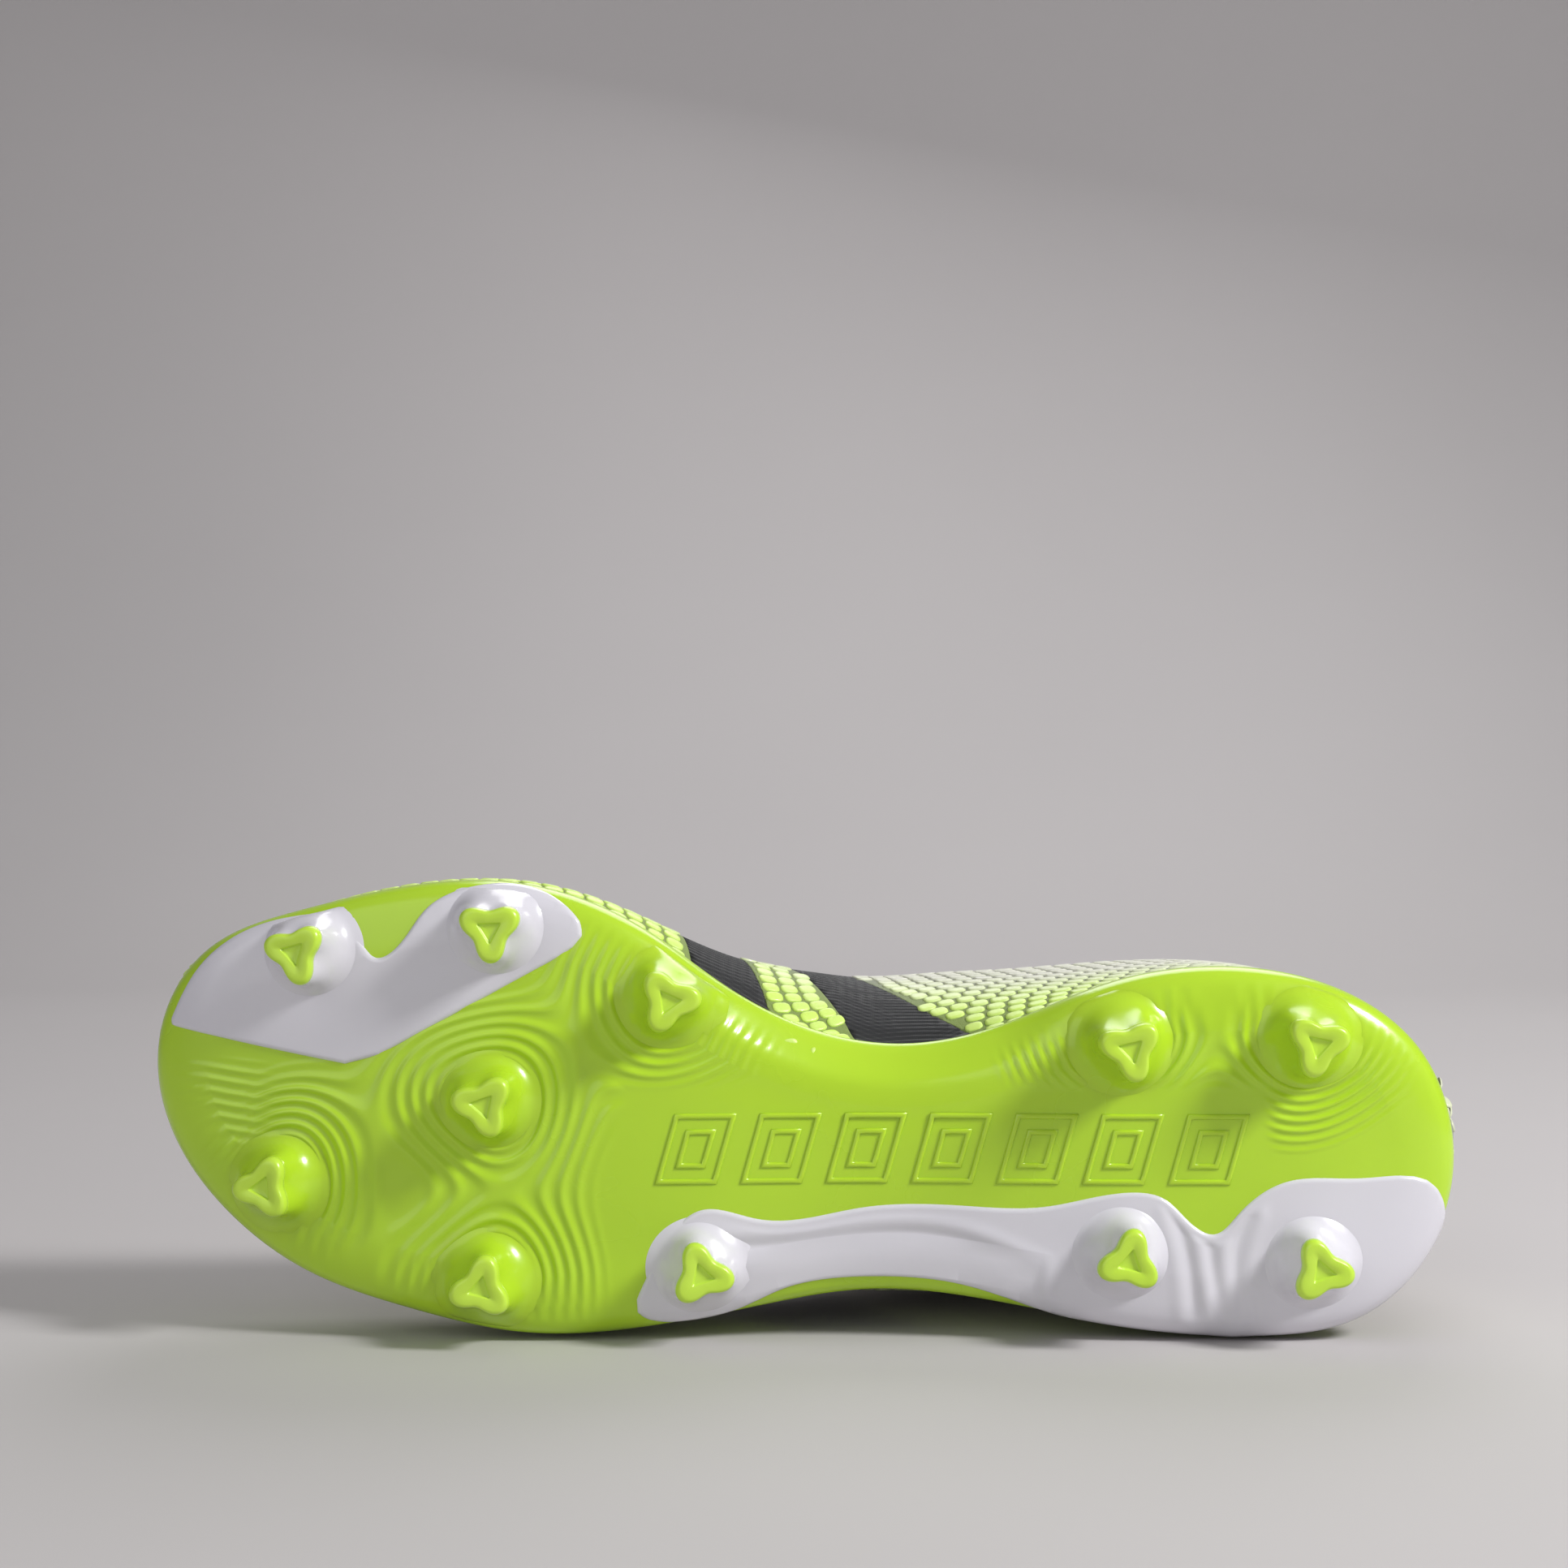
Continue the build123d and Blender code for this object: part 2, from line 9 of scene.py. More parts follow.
import bpy
import numpy as np
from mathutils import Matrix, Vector


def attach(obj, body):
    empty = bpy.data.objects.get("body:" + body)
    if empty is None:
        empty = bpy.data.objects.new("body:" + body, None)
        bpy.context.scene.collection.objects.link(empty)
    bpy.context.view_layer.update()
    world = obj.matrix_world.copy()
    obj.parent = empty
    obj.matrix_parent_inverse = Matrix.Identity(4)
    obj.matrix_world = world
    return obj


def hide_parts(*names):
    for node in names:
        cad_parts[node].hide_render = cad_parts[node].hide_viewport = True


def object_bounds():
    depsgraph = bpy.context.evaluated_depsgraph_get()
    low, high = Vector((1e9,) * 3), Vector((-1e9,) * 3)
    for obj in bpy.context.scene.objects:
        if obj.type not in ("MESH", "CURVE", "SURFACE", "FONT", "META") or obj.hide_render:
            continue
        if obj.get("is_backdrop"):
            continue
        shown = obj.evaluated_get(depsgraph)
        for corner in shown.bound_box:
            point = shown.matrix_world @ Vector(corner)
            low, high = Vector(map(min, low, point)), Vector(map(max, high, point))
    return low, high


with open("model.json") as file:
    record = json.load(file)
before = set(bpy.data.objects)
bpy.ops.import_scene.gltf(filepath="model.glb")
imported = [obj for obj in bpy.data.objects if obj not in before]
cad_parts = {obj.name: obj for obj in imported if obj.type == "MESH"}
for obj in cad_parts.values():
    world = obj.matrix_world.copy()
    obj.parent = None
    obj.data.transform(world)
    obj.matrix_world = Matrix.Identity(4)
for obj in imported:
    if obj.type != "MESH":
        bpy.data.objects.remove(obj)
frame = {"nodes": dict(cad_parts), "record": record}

CAD_LOW, CAD_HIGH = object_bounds()
MM = 0.001
rng = np.random.default_rng(7)      # shakes the scales a little

# --- the boot's own dimensions, mm --------------------------------------------------------------
MARK = np.array([106.95, -12.0, 21.6])      # where the mount stud_plane lies on the boot
RAND_T = 2.3
RAND_H = 9.0
ABOVE_PLATE = 3.8
SKIN_T = 1.4
LINING_T = 0.9
LAYER_GAP = 0.3
TOE_PAD = 0.9
HEEL_PAD = 2.7
TOE_PAD_SPAN, HEEL_PAD_SPAN = (90, 112), (20, 72)      # where each comes in, going outward from x = 0
SEAM_Z = 40.0
STUD_H = 10.5
HEEL_STUD_H = 12.0
TIP_H = 2.4
INSERT_PROUD = 0.62
INSERT_WALL_H = 7.0
BINDING_H = 2.5
TOE_SPRING, TOE_SPRING_FROM, TOE_SPRING_RUN = 13.0, -60.0, 82.0
ARCH_RISE, ARCH_X, ARCH_SPREAD = 3.0, 15.0, 35.0
HEEL_RISE, HEEL_RISE_FROM, HEEL_RISE_RUN = 2.5, 105.0, 36.0
HALF_LENGTH = 144.0
MARGIN_W = 12.0                  # the upper's layers turn in this far under the foot
MARGIN_H = 14.0                  # and are cut away further in, up to this height

SOLE_OUTLINE = [
    (-142.6, 56.0), (-139.5, 71.5), (-130.0, 83.0), (-111.0, 90.8), (-89.0, 96.0), (-67.0, 97.8),
    (-50.0, 94.6), (-33.0, 86.5), (-18.0, 75.8), (-2.0, 67.0), (20.0, 62.2), (42.0, 66.0),
    (66.0, 75.5), (92.0, 79.2), (117.0, 74.0), (133.0, 62.5), (140.5, 47.0), (141.0, 32.0),
    (134.0, 15.5), (120.0, 3.8), (100.0, 0.1), (70.0, 1.8), (42.0, 6.6), (15.0, 9.0),
    (-10.0, 5.5), (-35.0, 1.2), (-60.0, 0.2), (-85.0, 5.2), (-108.0, 12.8), (-126.0, 25.0),
    (-138.0, 40.0),
]
FOREFOOT_INSERT = [
    [(-139.0, 66.0), (-131.0, 80.0), (-120.0, 87.5), (-108.0, 90.5), (-99.5, 90.0), (-94.8, 84.5),
     (-91.5, 81.5), (-87.5, 83.5), (-81.0, 92.0), (-70.0, 97.0), (-58.0, 96.5), (-49.5, 91.5),
     (-47.0, 87.3), (-52.5, 81.5)],
    [(-52.5, 81.5), (-91.0, 60.5), (-98.5, 58.5)],
    [(-98.5, 58.5), (-118.0, 62.0), (-139.0, 66.0)],
]
LATERAL_INSERT = [
    (-35.9, 6.6), (-34.0, 12.0), (-29.0, 21.5), (-22.0, 27.4), (-10.0, 25.5), (12.0, 27.6),
    (35.0, 28.2), (52.0, 28.2), (68.0, 31.2), (77.5, 30.0), (83.5, 24.5), (88.0, 22.4),
    (93.0, 26.5), (104.0, 33.8), (120.0, 34.4), (136.0, 32.5), (139.0, 25.5), (134.0, 13.0),
    (121.0, 1.5), (100.0, -2.0), (72.0, -0.5), (56.0, 3.6), (34.0, 10.9), (15.0, 12.5),
    (-4.0, 10.0), (-20.0, 3.6),
]
# Each stud's x and z, the angle of one lobe of its tip in degrees, and the moulding it grows from.
STUDS = {
    "medial_front": (-106.2, 83.0, -76.0, "forefoot_insert"),
    "medial_mid": (-65.8, 88.0, -88.0, "forefoot_insert"),
    "medial_rear": (-28.8, 73.0, 6.0, "outsole_plate"),
    "centre": (-67.1, 51.1, -71.0, "outsole_plate"),
    "lateral_front": (-112.9, 32.9, 66.0, "outsole_plate"),
    "lateral_mid": (-67.6, 12.6, 78.0, "outsole_plate"),
    "lateral_rear": (-21.9, 15.2, 108.0, "lateral_insert"),
    "heel_medial_front": (68.8, 63.0, -77.0, "outsole_plate"),
    "heel_medial_rear": (108.1, 64.0, 18.0, "outsole_plate"),
    "heel_lateral_front": (68.6, 18.4, 79.0, "lateral_insert"),
    "heel_lateral_rear": (108.9, 16.5, 111.0, "lateral_insert"),
}
# Cross-sections of the upper: x, base height, base lateral and medial z, bulge height, lateral,
# medial, shoulder height, lateral, medial, top height, top z. Heights are above the underside.
STATIONS = [
    (-143.8, 7, 50, 63, 15, 49.5, 63.5, 19, 51, 62, 22, 56.5),
    (-141.0, 3.8, 43, 70, 15, 41.5, 71.5, 24, 45, 68, 28, 57),
    (-136.0, 3.8, 35, 77, 16, 33.5, 78.5, 28, 40, 73, 33, 57),
    (-126.0, 3.8, 27.5, 82.5, 17, 25.5, 84.5, 31, 34, 78, 37, 57),
    (-110.0, 3.8, 16.5, 88, 17, 14.5, 90.5, 34, 25, 83, 41, 56),
    (-88.0, 3.8, 9, 93.5, 18, 6.5, 96, 37, 18, 86, 46, 55),
    (-62.0, 3.8, 3.5, 95, 19, 2, 97, 41, 14, 84, 53, 52),
    (-38.0, 3.8, 4.5, 86.5, 22, 2, 90, 48, 13, 76, 62, 49),
    (-16.0, 3.8, 7, 72, 27, 2.5, 80, 56, 12, 69, 71, 45),
    (2.0, 3.8, 10, 63.5, 32, 3, 75.5, 64, 11, 66, 80, 42),
    (16.0, 3.8, 12, 60, 34, 3.5, 73, 74, 9, 66, 90, 40),
    (32.0, 3.8, 11, 61, 36, 3, 72.5, 82, 6, 68, 97, 38.5),
    (52.0, 3.8, 7, 67.5, 36, 2, 73.5, 82, 2, 70, 98, 37.5),
    (76.0, 3.8, 4, 74.5, 34, 1, 76, 80, 1.5, 72, 98, 37.5),
    (98.0, 3.8, 3, 76, 30, 1, 77.5, 82, 4, 69.5, 99, 37.5),
    (118.0, 3.8, 7, 71, 29, 5, 72, 86, 12, 63, 102, 38),
    (131.0, 3.8, 15.5, 62, 28, 13, 64, 88, 22, 55, 102, 38.5),
    (137.5, 3.8, 24, 54, 27, 21, 57.5, 78, 27, 52, 92, 39),
    (141.5, 5, 31, 49, 27, 28, 52, 54, 30, 49, 66, 40),
    (144.0, 14, 37, 44, 27, 36, 45, 37, 37, 44, 42, 40.5),
]
# Lines drawn in side view, as x and height.
TOPLINE = [
    (4, 103), (16, 94.5), (30, 87), (54, 80), (78, 78), (100, 80), (120, 86), (135, 92), (150, 97),
]
CUFF_LINE = [
    (-6, 103), (8, 88), (24, 76), (50, 67.5), (78, 65), (100, 67), (120, 72.5), (135, 78), (150, 82),
]
# The knit's edges and its inlay, as x and height.
KNIT_FRONT_MEDIAL = [(-23, -5), (-23, 8), (-30, 38), (-42, 72), (-42, 120)]
KNIT_REAR_MEDIAL = [(43, -5), (43, 8), (15, 38), (6, 58), (4, 120)]
KNIT_FRONT_LATERAL = [(-1, -5), (-1, 8), (-12, 30), (-42, 72), (-42, 120)]
KNIT_REAR_LATERAL = [(34, -5), (34, 8), (14, 40), (6, 58), (4, 120)]
WEDGE = [(-5, -5), (-5, 8), (-16, 38), (-24, 62), (-4, 38), (16, 8), (16, -5)]

STUD_MOUNT = next(m for m in frame["record"]["mounts"] if m["name"] == "stud_plane")
SHIFT = np.array(STUD_MOUNT["pos_m"]) / MM - MARK


# --- curves -------------------------------------------------------------------------------------
def smooth(value, start, end):
    """0 before start, 1 after end, with an even slope between."""
    t = np.clip((np.asarray(value, float) - start) / (end - start), 0.0, 1.0)
    return t * t * (3 - 2 * t)


def spline(knots, values, at, closed=False):
    """A cubic spline through values at knots, natural at its ends or closed on itself."""
    t, v = np.asarray(knots, float), np.asarray(values, float)
    h, n = np.diff(t), len(t)
    slope = np.diff(v, axis=0) / h[:, None]
    a, b = np.zeros((n, n)), np.zeros(v.shape)
    for i in range(1, n - 1):
        a[i, i - 1 : i + 2] = h[i - 1], 2 * (h[i - 1] + h[i]), h[i]
        b[i] = 6 * (slope[i] - slope[i - 1])
    a[0, 0] = a[-1, -1] = 1
    if closed:
        a[0, -1] = -1
        a[-1] = 0
        a[-1, [0, 1, -2, -1]] = 2 * h[0], h[0], h[-1], 2 * h[-1]
        b[-1] = 6 * (slope[0] - slope[-1])
    m = np.linalg.solve(a, b)
    k = np.clip(np.searchsorted(t, at, side="right") - 1, 0, n - 2)
    u, w, hk = (at - t[k])[:, None], (t[k + 1] - at)[:, None], h[k][:, None]
    bend = (m[k] * w**3 + m[k + 1] * u**3) / (6 * hk)
    return bend + (v[k] / hk - m[k] * hk / 6) * w + (v[k + 1] / hk - m[k + 1] * hk / 6) * u


def lengths(points):
    """Distance along a line of points, from 0."""
    return np.concatenate([[0], np.cumsum(np.linalg.norm(np.diff(points, axis=0), axis=1))])


def interpolate(at, run, points):
    """The points of a line at the given distances along it."""
    return np.stack([np.interp(at, run, points[:, k]) for k in range(points.shape[1])], axis=-1)


def curve(points, count, closed=False):
    """A smooth curve through points, as count evenly spaced points."""
    points = np.asarray(points, float)
    if closed:
        points = np.vstack([points, points[:1]])
    knots = lengths(points)
    dense = spline(knots, points, np.linspace(0, knots[-1], 6 * count), closed)
    run = lengths(dense)
    at = np.linspace(0, run[-1], count + 1)[:-1] if closed else np.linspace(0, run[-1], count)
    return interpolate(at, run, dense)


def line_height(line, x):
    """Height of a smooth side-view line at x."""
    line = np.asarray(line, float)
    run = lengths(line)
    dense = spline(run, line, np.linspace(0, run[-1], 400))
    return np.interp(x, dense[:, 0], dense[:, 1])


def signed_distance(points, loop):
    """Distance from 2-D points to a closed polygon, positive inside."""
    best = np.full(len(points), 1e9)
    inside = np.zeros(len(points), bool)
    px, py = points[:, 0], points[:, 1]
    for (xa, ya), (xb, yb) in zip(loop, np.roll(loop, -1, axis=0)):
        dx, dy = xb - xa, yb - ya
        t = np.clip(((px - xa) * dx + (py - ya) * dy) / max(dx * dx + dy * dy, 1e-12), 0, 1)
        best = np.minimum(best, (px - xa - t * dx) ** 2 + (py - ya - t * dy) ** 2)
        crosses = (ya > py) != (yb > py)
        inside ^= crosses & (px < (xb - xa) * (py - ya) / (yb - ya if yb != ya else 1e-12) + xa)
    return np.where(inside, 1, -1) * np.sqrt(best)


def line_distance(points, line):
    """Distance from 2-D points to an open line of points."""
    best = np.full(len(points), 1e9)
    for a, b in zip(line[:-1], line[1:]):
        d = b - a
        t = np.clip(((points - a) @ d) / (d @ d), 0, 1)
        best = np.minimum(best, ((points - a - t[:, None] * d) ** 2).sum(1))
    return np.sqrt(best)


def underside(x):
    """Height of the plate's underside along the boot: toe spring, arch and heel rise."""
    x = np.asarray(x, float)
    toe = np.maximum(0, (TOE_SPRING_FROM - x) / TOE_SPRING_RUN)
    heel = np.maximum(0, (x - HEEL_RISE_FROM) / HEEL_RISE_RUN)
    arch = np.exp(-(((x - ARCH_X) / ARCH_SPREAD) ** 2))
    return TOE_SPRING * toe**2 + ARCH_RISE * arch + HEEL_RISE * heel**2


def height_above_sole(t):
    """Height of a table's points above the plate's underside."""
    return t[:, 1] - underside(t[:, 0])


def lining_depth(x):
    """How far inside the boot's outer surface the lining's outer face lies."""
    toe, heel = smooth(-x, *TOE_PAD_SPAN), smooth(x, *HEEL_PAD_SPAN)
    return SKIN_T + LAYER_GAP + TOE_PAD * toe + HEEL_PAD * heel


def lining_inside(x):
    """How far in the lining's inner face lies."""
    return lining_depth(x) + LINING_T


# --- meshes -------------------------------------------------------------------------------------


def grid_quads(rows, columns, wrap=False):
    """Quads of a grid whose points are numbered row by row; wrap joins the last column to the first."""
    i, j = np.meshgrid(np.arange(rows - 1), np.arange(columns if wrap else columns - 1), indexing="ij")
    i, j = i.ravel(), j.ravel()
    k = (j + 1) % columns
    here, below_it = i * columns, (i + 1) * columns
    return np.stack([here + j, here + k, below_it + k, below_it + j], axis=1)


def triangles(quads):
    """Each quad as two triangles."""
    return np.vstack([quads[:, [0, 1, 2]], quads[:, [0, 2, 3]]])


def crossing(table, phi, edge):
    """The row where phi is 0 on an edge, a pair of rows."""
    a, b = edge
    t = phi[a] / (phi[a] - phi[b])
    return table[a] * (1 - t) + table[b] * t


def crossed(tris, phi):
    """The triangles that the line phi = 0 runs through, as lists."""
    count = (phi > 0)[tris].sum(1)
    return tris[(count > 0) & (count < 3)].tolist()


def split(table, tris, phi, keep_both=False):
    """Cuts triangles along phi = 0 and keeps the positive side, or both. table holds a point's columns."""
    inside = phi > 0
    count = inside[tris].sum(1)
    kept = [tris[count == 3]]
    if keep_both:
        kept.append(tris[count == 0])
    made, rows, new_tris = [], {}, []
    for tri in crossed(tris, phi):
        sides = {True: [], False: []}
        for a, b in zip(tri, tri[1:] + tri[:1]):
            sides[bool(inside[a])].append(a)
            if inside[a] != inside[b]:
                edge = (min(a, b), max(a, b))
                if edge not in rows:
                    rows[edge] = len(table) + len(made)
                    made.append(crossing(table, phi, edge))
                sides[True].append(rows[edge])
                sides[False].append(rows[edge])
        for side_kept in (True, False) if keep_both else (True,):
            corners = sides[side_kept]
            new_tris += [[corners[0], corners[i], corners[i + 1]] for i in range(1, len(corners) - 1)]
    if made:
        table = np.vstack([table, np.array(made)])
        kept.append(np.array(new_tris, int).reshape(-1, 3))
    tris = np.vstack(kept)
    used, back = np.unique(tris, return_inverse=True)
    return table[used], back.reshape(-1, 3)


def level_loop(table, tris, phi):
    """The longest line along which phi is 0, as ordered rows of the table."""
    inside = phi > 0
    points, links = {}, {}
    for tri in crossed(tris, phi):
        ends = [(min(a, b), max(a, b)) for a, b in zip(tri, tri[1:] + tri[:1]) if inside[a] != inside[b]]
        for edge in ends:
            points[edge] = crossing(table, phi, edge)
        links.setdefault(ends[0], []).append(ends[1])
        links.setdefault(ends[1], []).append(ends[0])
    best, left = [], set(points)
    while left:
        open_ends = [k for k in left if len(links[k]) == 1]
        here = min(open_ends) if open_ends else min(left)
        chain = []
        while here is not None:
            left.discard(here)
            chain.append(here)
            here = next((k for k in links[here] if k in left), None)
        best = max(best, chain, key=len)
    return np.array([points[k] for k in best])


def grid_normals(points, wrap=False):
    """Unit normals of a grid of points (rows, columns, 3)."""
    du = np.gradient(points, axis=0)
    if wrap:
        dv = (np.roll(points, -1, axis=1) - np.roll(points, 1, axis=1)) / 2
    else:
        dv = np.gradient(points, axis=1)
    n = np.cross(du, dv)
    return n / np.maximum(np.linalg.norm(n, axis=2, keepdims=True), 1e-12)


# --- materials ----------------------------------------------------------------------------------
def linear(*srgb):
    """An sRGB colour, 0 to 255, as linear RGBA."""
    parts = [c / 255 for c in srgb]
    return tuple(c / 12.92 if c <= 0.04045 else ((c + 0.055) / 1.055) ** 2.4 for c in parts) + (1.0,)


LIME = linear(186, 224, 48)
LIME_DEEP = linear(176, 214, 38)
WHITE = linear(222, 219, 226)
SCALE_WHITE = linear(212, 212, 196)
SCALE_LIME = linear(208, 240, 96)
BLACK = linear(20, 20, 23)
BLACK_SOFT = linear(36, 36, 40)
ROUGH_SPREAD = 0.06
LIME_SHARE = 0.82                # how much of a scale's colour follows its place on the boot
GRAIN_DEPTH = 0.0004             # metres
THREAD_DEPTH = 0.0003


def add_node(mat, kind, **sockets):
    """A new node of a material, with its input sockets set by name."""
    node = mat.node_tree.nodes.new("ShaderNode" + kind)
    for label, value in sockets.items():
        node.inputs[label.replace("_", " ")].default_value = value
    return node


def colour_mix(mat, factor, low, high):
    """A node that mixes two colours. Each may be a constant or the socket it comes from."""
    node = add_node(mat, "Mix")
    node.data_type = "RGBA"
    for socket, value in zip((node.inputs[0], node.inputs[6], node.inputs[7]), (factor, low, high)):
        if isinstance(value, bpy.types.NodeSocket):
            mat.node_tree.links.new(value, socket)
        else:
            socket.default_value = value
    return node.outputs[2]


def add_bump(mat, height, strength, distance):
    """Raises the material's surface by a height socket."""
    links = mat.node_tree.links
    node = add_node(mat, "Bump", Strength=strength, Distance=distance)
    links.new(height, node.inputs["Height"])
    links.new(node.outputs["Normal"], mat.node_tree.nodes["Principled BSDF"].inputs["Normal"])


def material(name, low, high, scale, roughness, bump=0.0, bump_scale=900.0, lime=None, **constants):
    """A principled material whose colour, roughness and bump vary with noise. scale is per metre.

    lime is a pair of colours between which the mesh's attribute of that name chooses. It takes the
    place of high and of most of low.
    """
    mat = bpy.data.materials.new(name)
    mat.use_nodes = True
    links = mat.node_tree.links
    shader = mat.node_tree.nodes["Principled BSDF"]
    place = add_node(mat, "TexCoord").outputs["Object"]
    noise = add_node(mat, "TexNoise", Scale=scale, Detail=4)
    links.new(place, noise.inputs["Vector"])
    if lime:
        value = add_node(mat, "Attribute")
        value.attribute_name = "lime"
        high = colour_mix(mat, value.outputs["Fac"], *lime)
        low = colour_mix(mat, LIME_SHARE, low, high)
    links.new(colour_mix(mat, noise.outputs["Fac"], low, high), shader.inputs["Base Color"])
    rough = add_node(mat, "MapRange", To_Min=roughness - ROUGH_SPREAD, To_Max=roughness + ROUGH_SPREAD)
    links.new(noise.outputs["Fac"], rough.inputs["Value"])
    links.new(rough.outputs["Result"], shader.inputs["Roughness"])
    if bump:
        grain = add_node(mat, "TexNoise", Scale=bump_scale, Detail=3)
        links.new(place, grain.inputs["Vector"])
        add_bump(mat, grain.outputs["Fac"], bump, GRAIN_DEPTH)
    for label, value in constants.items():
        shader.inputs[label.replace("_", " ")].default_value = value
    return mat


def weave(mat, scale, strength):
    """Gives the material two crossing sets of fine threads."""
    links = mat.node_tree.links
    place = add_node(mat, "TexCoord").outputs["Object"]
    both = add_node(mat, "Math")
    both.operation = "MULTIPLY"
    for direction, socket in zip("XY", both.inputs):
        wave = add_node(mat, "TexWave", Scale=scale, Distortion=0.6)
        wave.bands_direction = direction
        links.new(place, wave.inputs["Vector"])
        links.new(wave.outputs["Fac"], socket)
    add_bump(mat, both.outputs[0], strength, THREAD_DEPTH)


def make_materials():
    """Every material by name, which is also its slot's name where a piece has one material."""
    table = (
        # name, two colours, noise scale, roughness, bump, bump scale, other constants
        ("lime_tpu", LIME, LIME_DEEP, 30, 0.26, 0.05, 500, dict(
            Coat_Weight=0.35, Coat_Roughness=0.12, Subsurface_Weight=0.12,
            Subsurface_Radius=(0.003, 0.004, 0.001), Subsurface_Scale=0.6)),
        ("white_tpu", WHITE, linear(214, 212, 220), 24, 0.24, 0.04, 500, dict(
            Coat_Weight=0.4, Coat_Roughness=0.1)),
        ("tip_tpu", linear(204, 238, 84), LIME, 60, 0.3, 0.06, 700, dict(
            Coat_Weight=0.2, Coat_Roughness=0.2)),
        ("scale_base", linear(150, 158, 122), linear(128, 136, 104), 900, 0.75, 0.6, 2600, dict(
            lime=(linear(146, 148, 138), linear(128, 148, 70)))),
        ("scale_tiles", SCALE_WHITE, SCALE_LIME, 200, 0.4, 0.25, 1800, dict(
            Coat_Weight=0.15, lime=(SCALE_WHITE, SCALE_LIME))),
        ("black_knit", BLACK, BLACK_SOFT, 700, 0.72, 0.0, 0, dict(Sheen_Weight=0.35, Sheen_Roughness=0.4)),
        ("black_binding", BLACK, linear(22, 22, 24), 500, 0.66, 0.5, 2200, dict(Sheen_Weight=0.3)),
        ("lining_textile", linear(58, 60, 62), linear(44, 46, 48), 600, 0.85, 0.0, 0, dict(
            Sheen_Weight=0.3)),
        ("stiffener", linear(214, 206, 186), linear(196, 188, 168), 160, 0.55, 0.2, 1200, {}),
        ("soft_foam", linear(222, 206, 150), linear(206, 188, 130), 500, 0.9, 0.8, 2600, {}),
        ("board", linear(196, 176, 140), linear(170, 150, 116), 260, 0.85, 0.5, 1600, {}),
        ("eva_foam", linear(178, 222, 60), linear(160, 204, 48), 200, 0.8, 0.5, 2400, {}),
        ("sockliner_textile", linear(104, 108, 104), linear(86, 90, 88), 500, 0.85, 0.0, 0, dict(
            Sheen_Weight=0.4)),
        ("webbing", BLACK, BLACK_SOFT, 800, 0.7, 0.0, 0, dict(Sheen_Weight=0.3)),
        ("thread", linear(176, 220, 60), linear(150, 190, 50), 900, 0.6, 0.4, 3000, {}),
    )
    mats = {row[0]: material(*row[:-1], **row[-1]) for row in table}
    for name, scale, strength in (
        ("lining_textile", 700, 0.5),
        ("sockliner_textile", 900, 0.5),
        ("black_knit", 1100, 0.35),
        ("webbing", 620, 0.8),
    ):
        weave(mats[name], scale, strength)
    return mats


# --- the sole's surface -------------------------------------------------------------------------
# The edge's section as distance in from the outline and height: rounded, and flared at the medial waist.
EDGE_ROUND = [
    (3.1, 8.6), (2.3, 9.1), (1.7, 9.3), (0.9, 9.3), (0.25, 8.9), (0.0, 8.2), (-0.1, 7.0), (0.0, 5.8),
    (0.35, 4.3), (1.1, 2.9), (2.3, 1.9), (4.2, 1.15), (7.0, 0.7), (10.0, 0.4), (13.0, 0.25),
]
EDGE_FLARED = [
    (3.1, 8.6), (2.3, 9.1), (1.7, 9.4), (0.9, 9.4), (0.3, 9.1), (0.1, 8.4), (0.5, 7.4), (1.3, 6.3),
    (2.3, 5.2), (3.6, 4.1), (5.0, 2.9), (6.4, 1.8), (7.6, 1.0), (9.4, 0.5), (13.0, 0.25),
]
OUTLINE_LOOP = curve(SOLE_OUTLINE, 300, closed=True)
RING, ROWS = 1400, 84            # points round the sole's grid, and rows from its edge to its spine
SPINE_FROM, SPINE_TO = -98.0, 100.0
RIPPLE_STUDS = [name for name, spec in STUDS.items() if spec[3] == "outsole_plate"]
RIPPLE_H = 0.5
RIPPLE_BLEND = 6.0               # how far the rings of neighbouring studs flow into each other
RIPPLE_START = 7.2               # distance of the first crest
RIPPLES_BEGIN, RIPPLES_END = (7.5, 10.5), (19.0, 27.0)
TOE_LINE_H = 0.3                 # height of the straight lines at the toe
EMBOSS_X, EMBOSS_Z = (-31.0, 95.0), (33.5, 47.5)


def outline_ring():
    """The sole's outline, evenly spaced, and its inward directions."""
    ring = curve(SOLE_OUTLINE, RING, closed=True)
    tangent = np.roll(ring, -1, axis=0) - np.roll(ring, 1, axis=0)
    tangent /= np.linalg.norm(tangent, axis=1, keepdims=True)
    return ring, np.stack([tangent[:, 1], -tangent[:, 0]], axis=1)


def wave_crest(phase, sharp):
    """Rounded crests, 0 to 1, one to each turn of the phase."""
    return (0.5 + 0.5 * np.cos(phase)) ** sharp


def ripple_field(x, z):
    """A smooth distance to the rippled studs, in which rings of neighbouring studs flow together."""
    total = np.zeros_like(x)
    for turn, name in enumerate(RIPPLE_STUDS):
        sx, sz, lobe, _ = STUDS[name]
        dx, dz = x - sx, z - sz
        angle = np.arctan2(dz, dx)
        reach = np.hypot(dx * 0.92, dz * 1.06)
        reach = reach * (1 - 0.06 * np.cos(3 * (angle - radians(lobe)))) + 0.7 * np.sin(2 * angle + turn)
        total += np.exp(-reach / RIPPLE_BLEND)
    return -RIPPLE_BLEND * np.log(np.maximum(total, 1e-9))


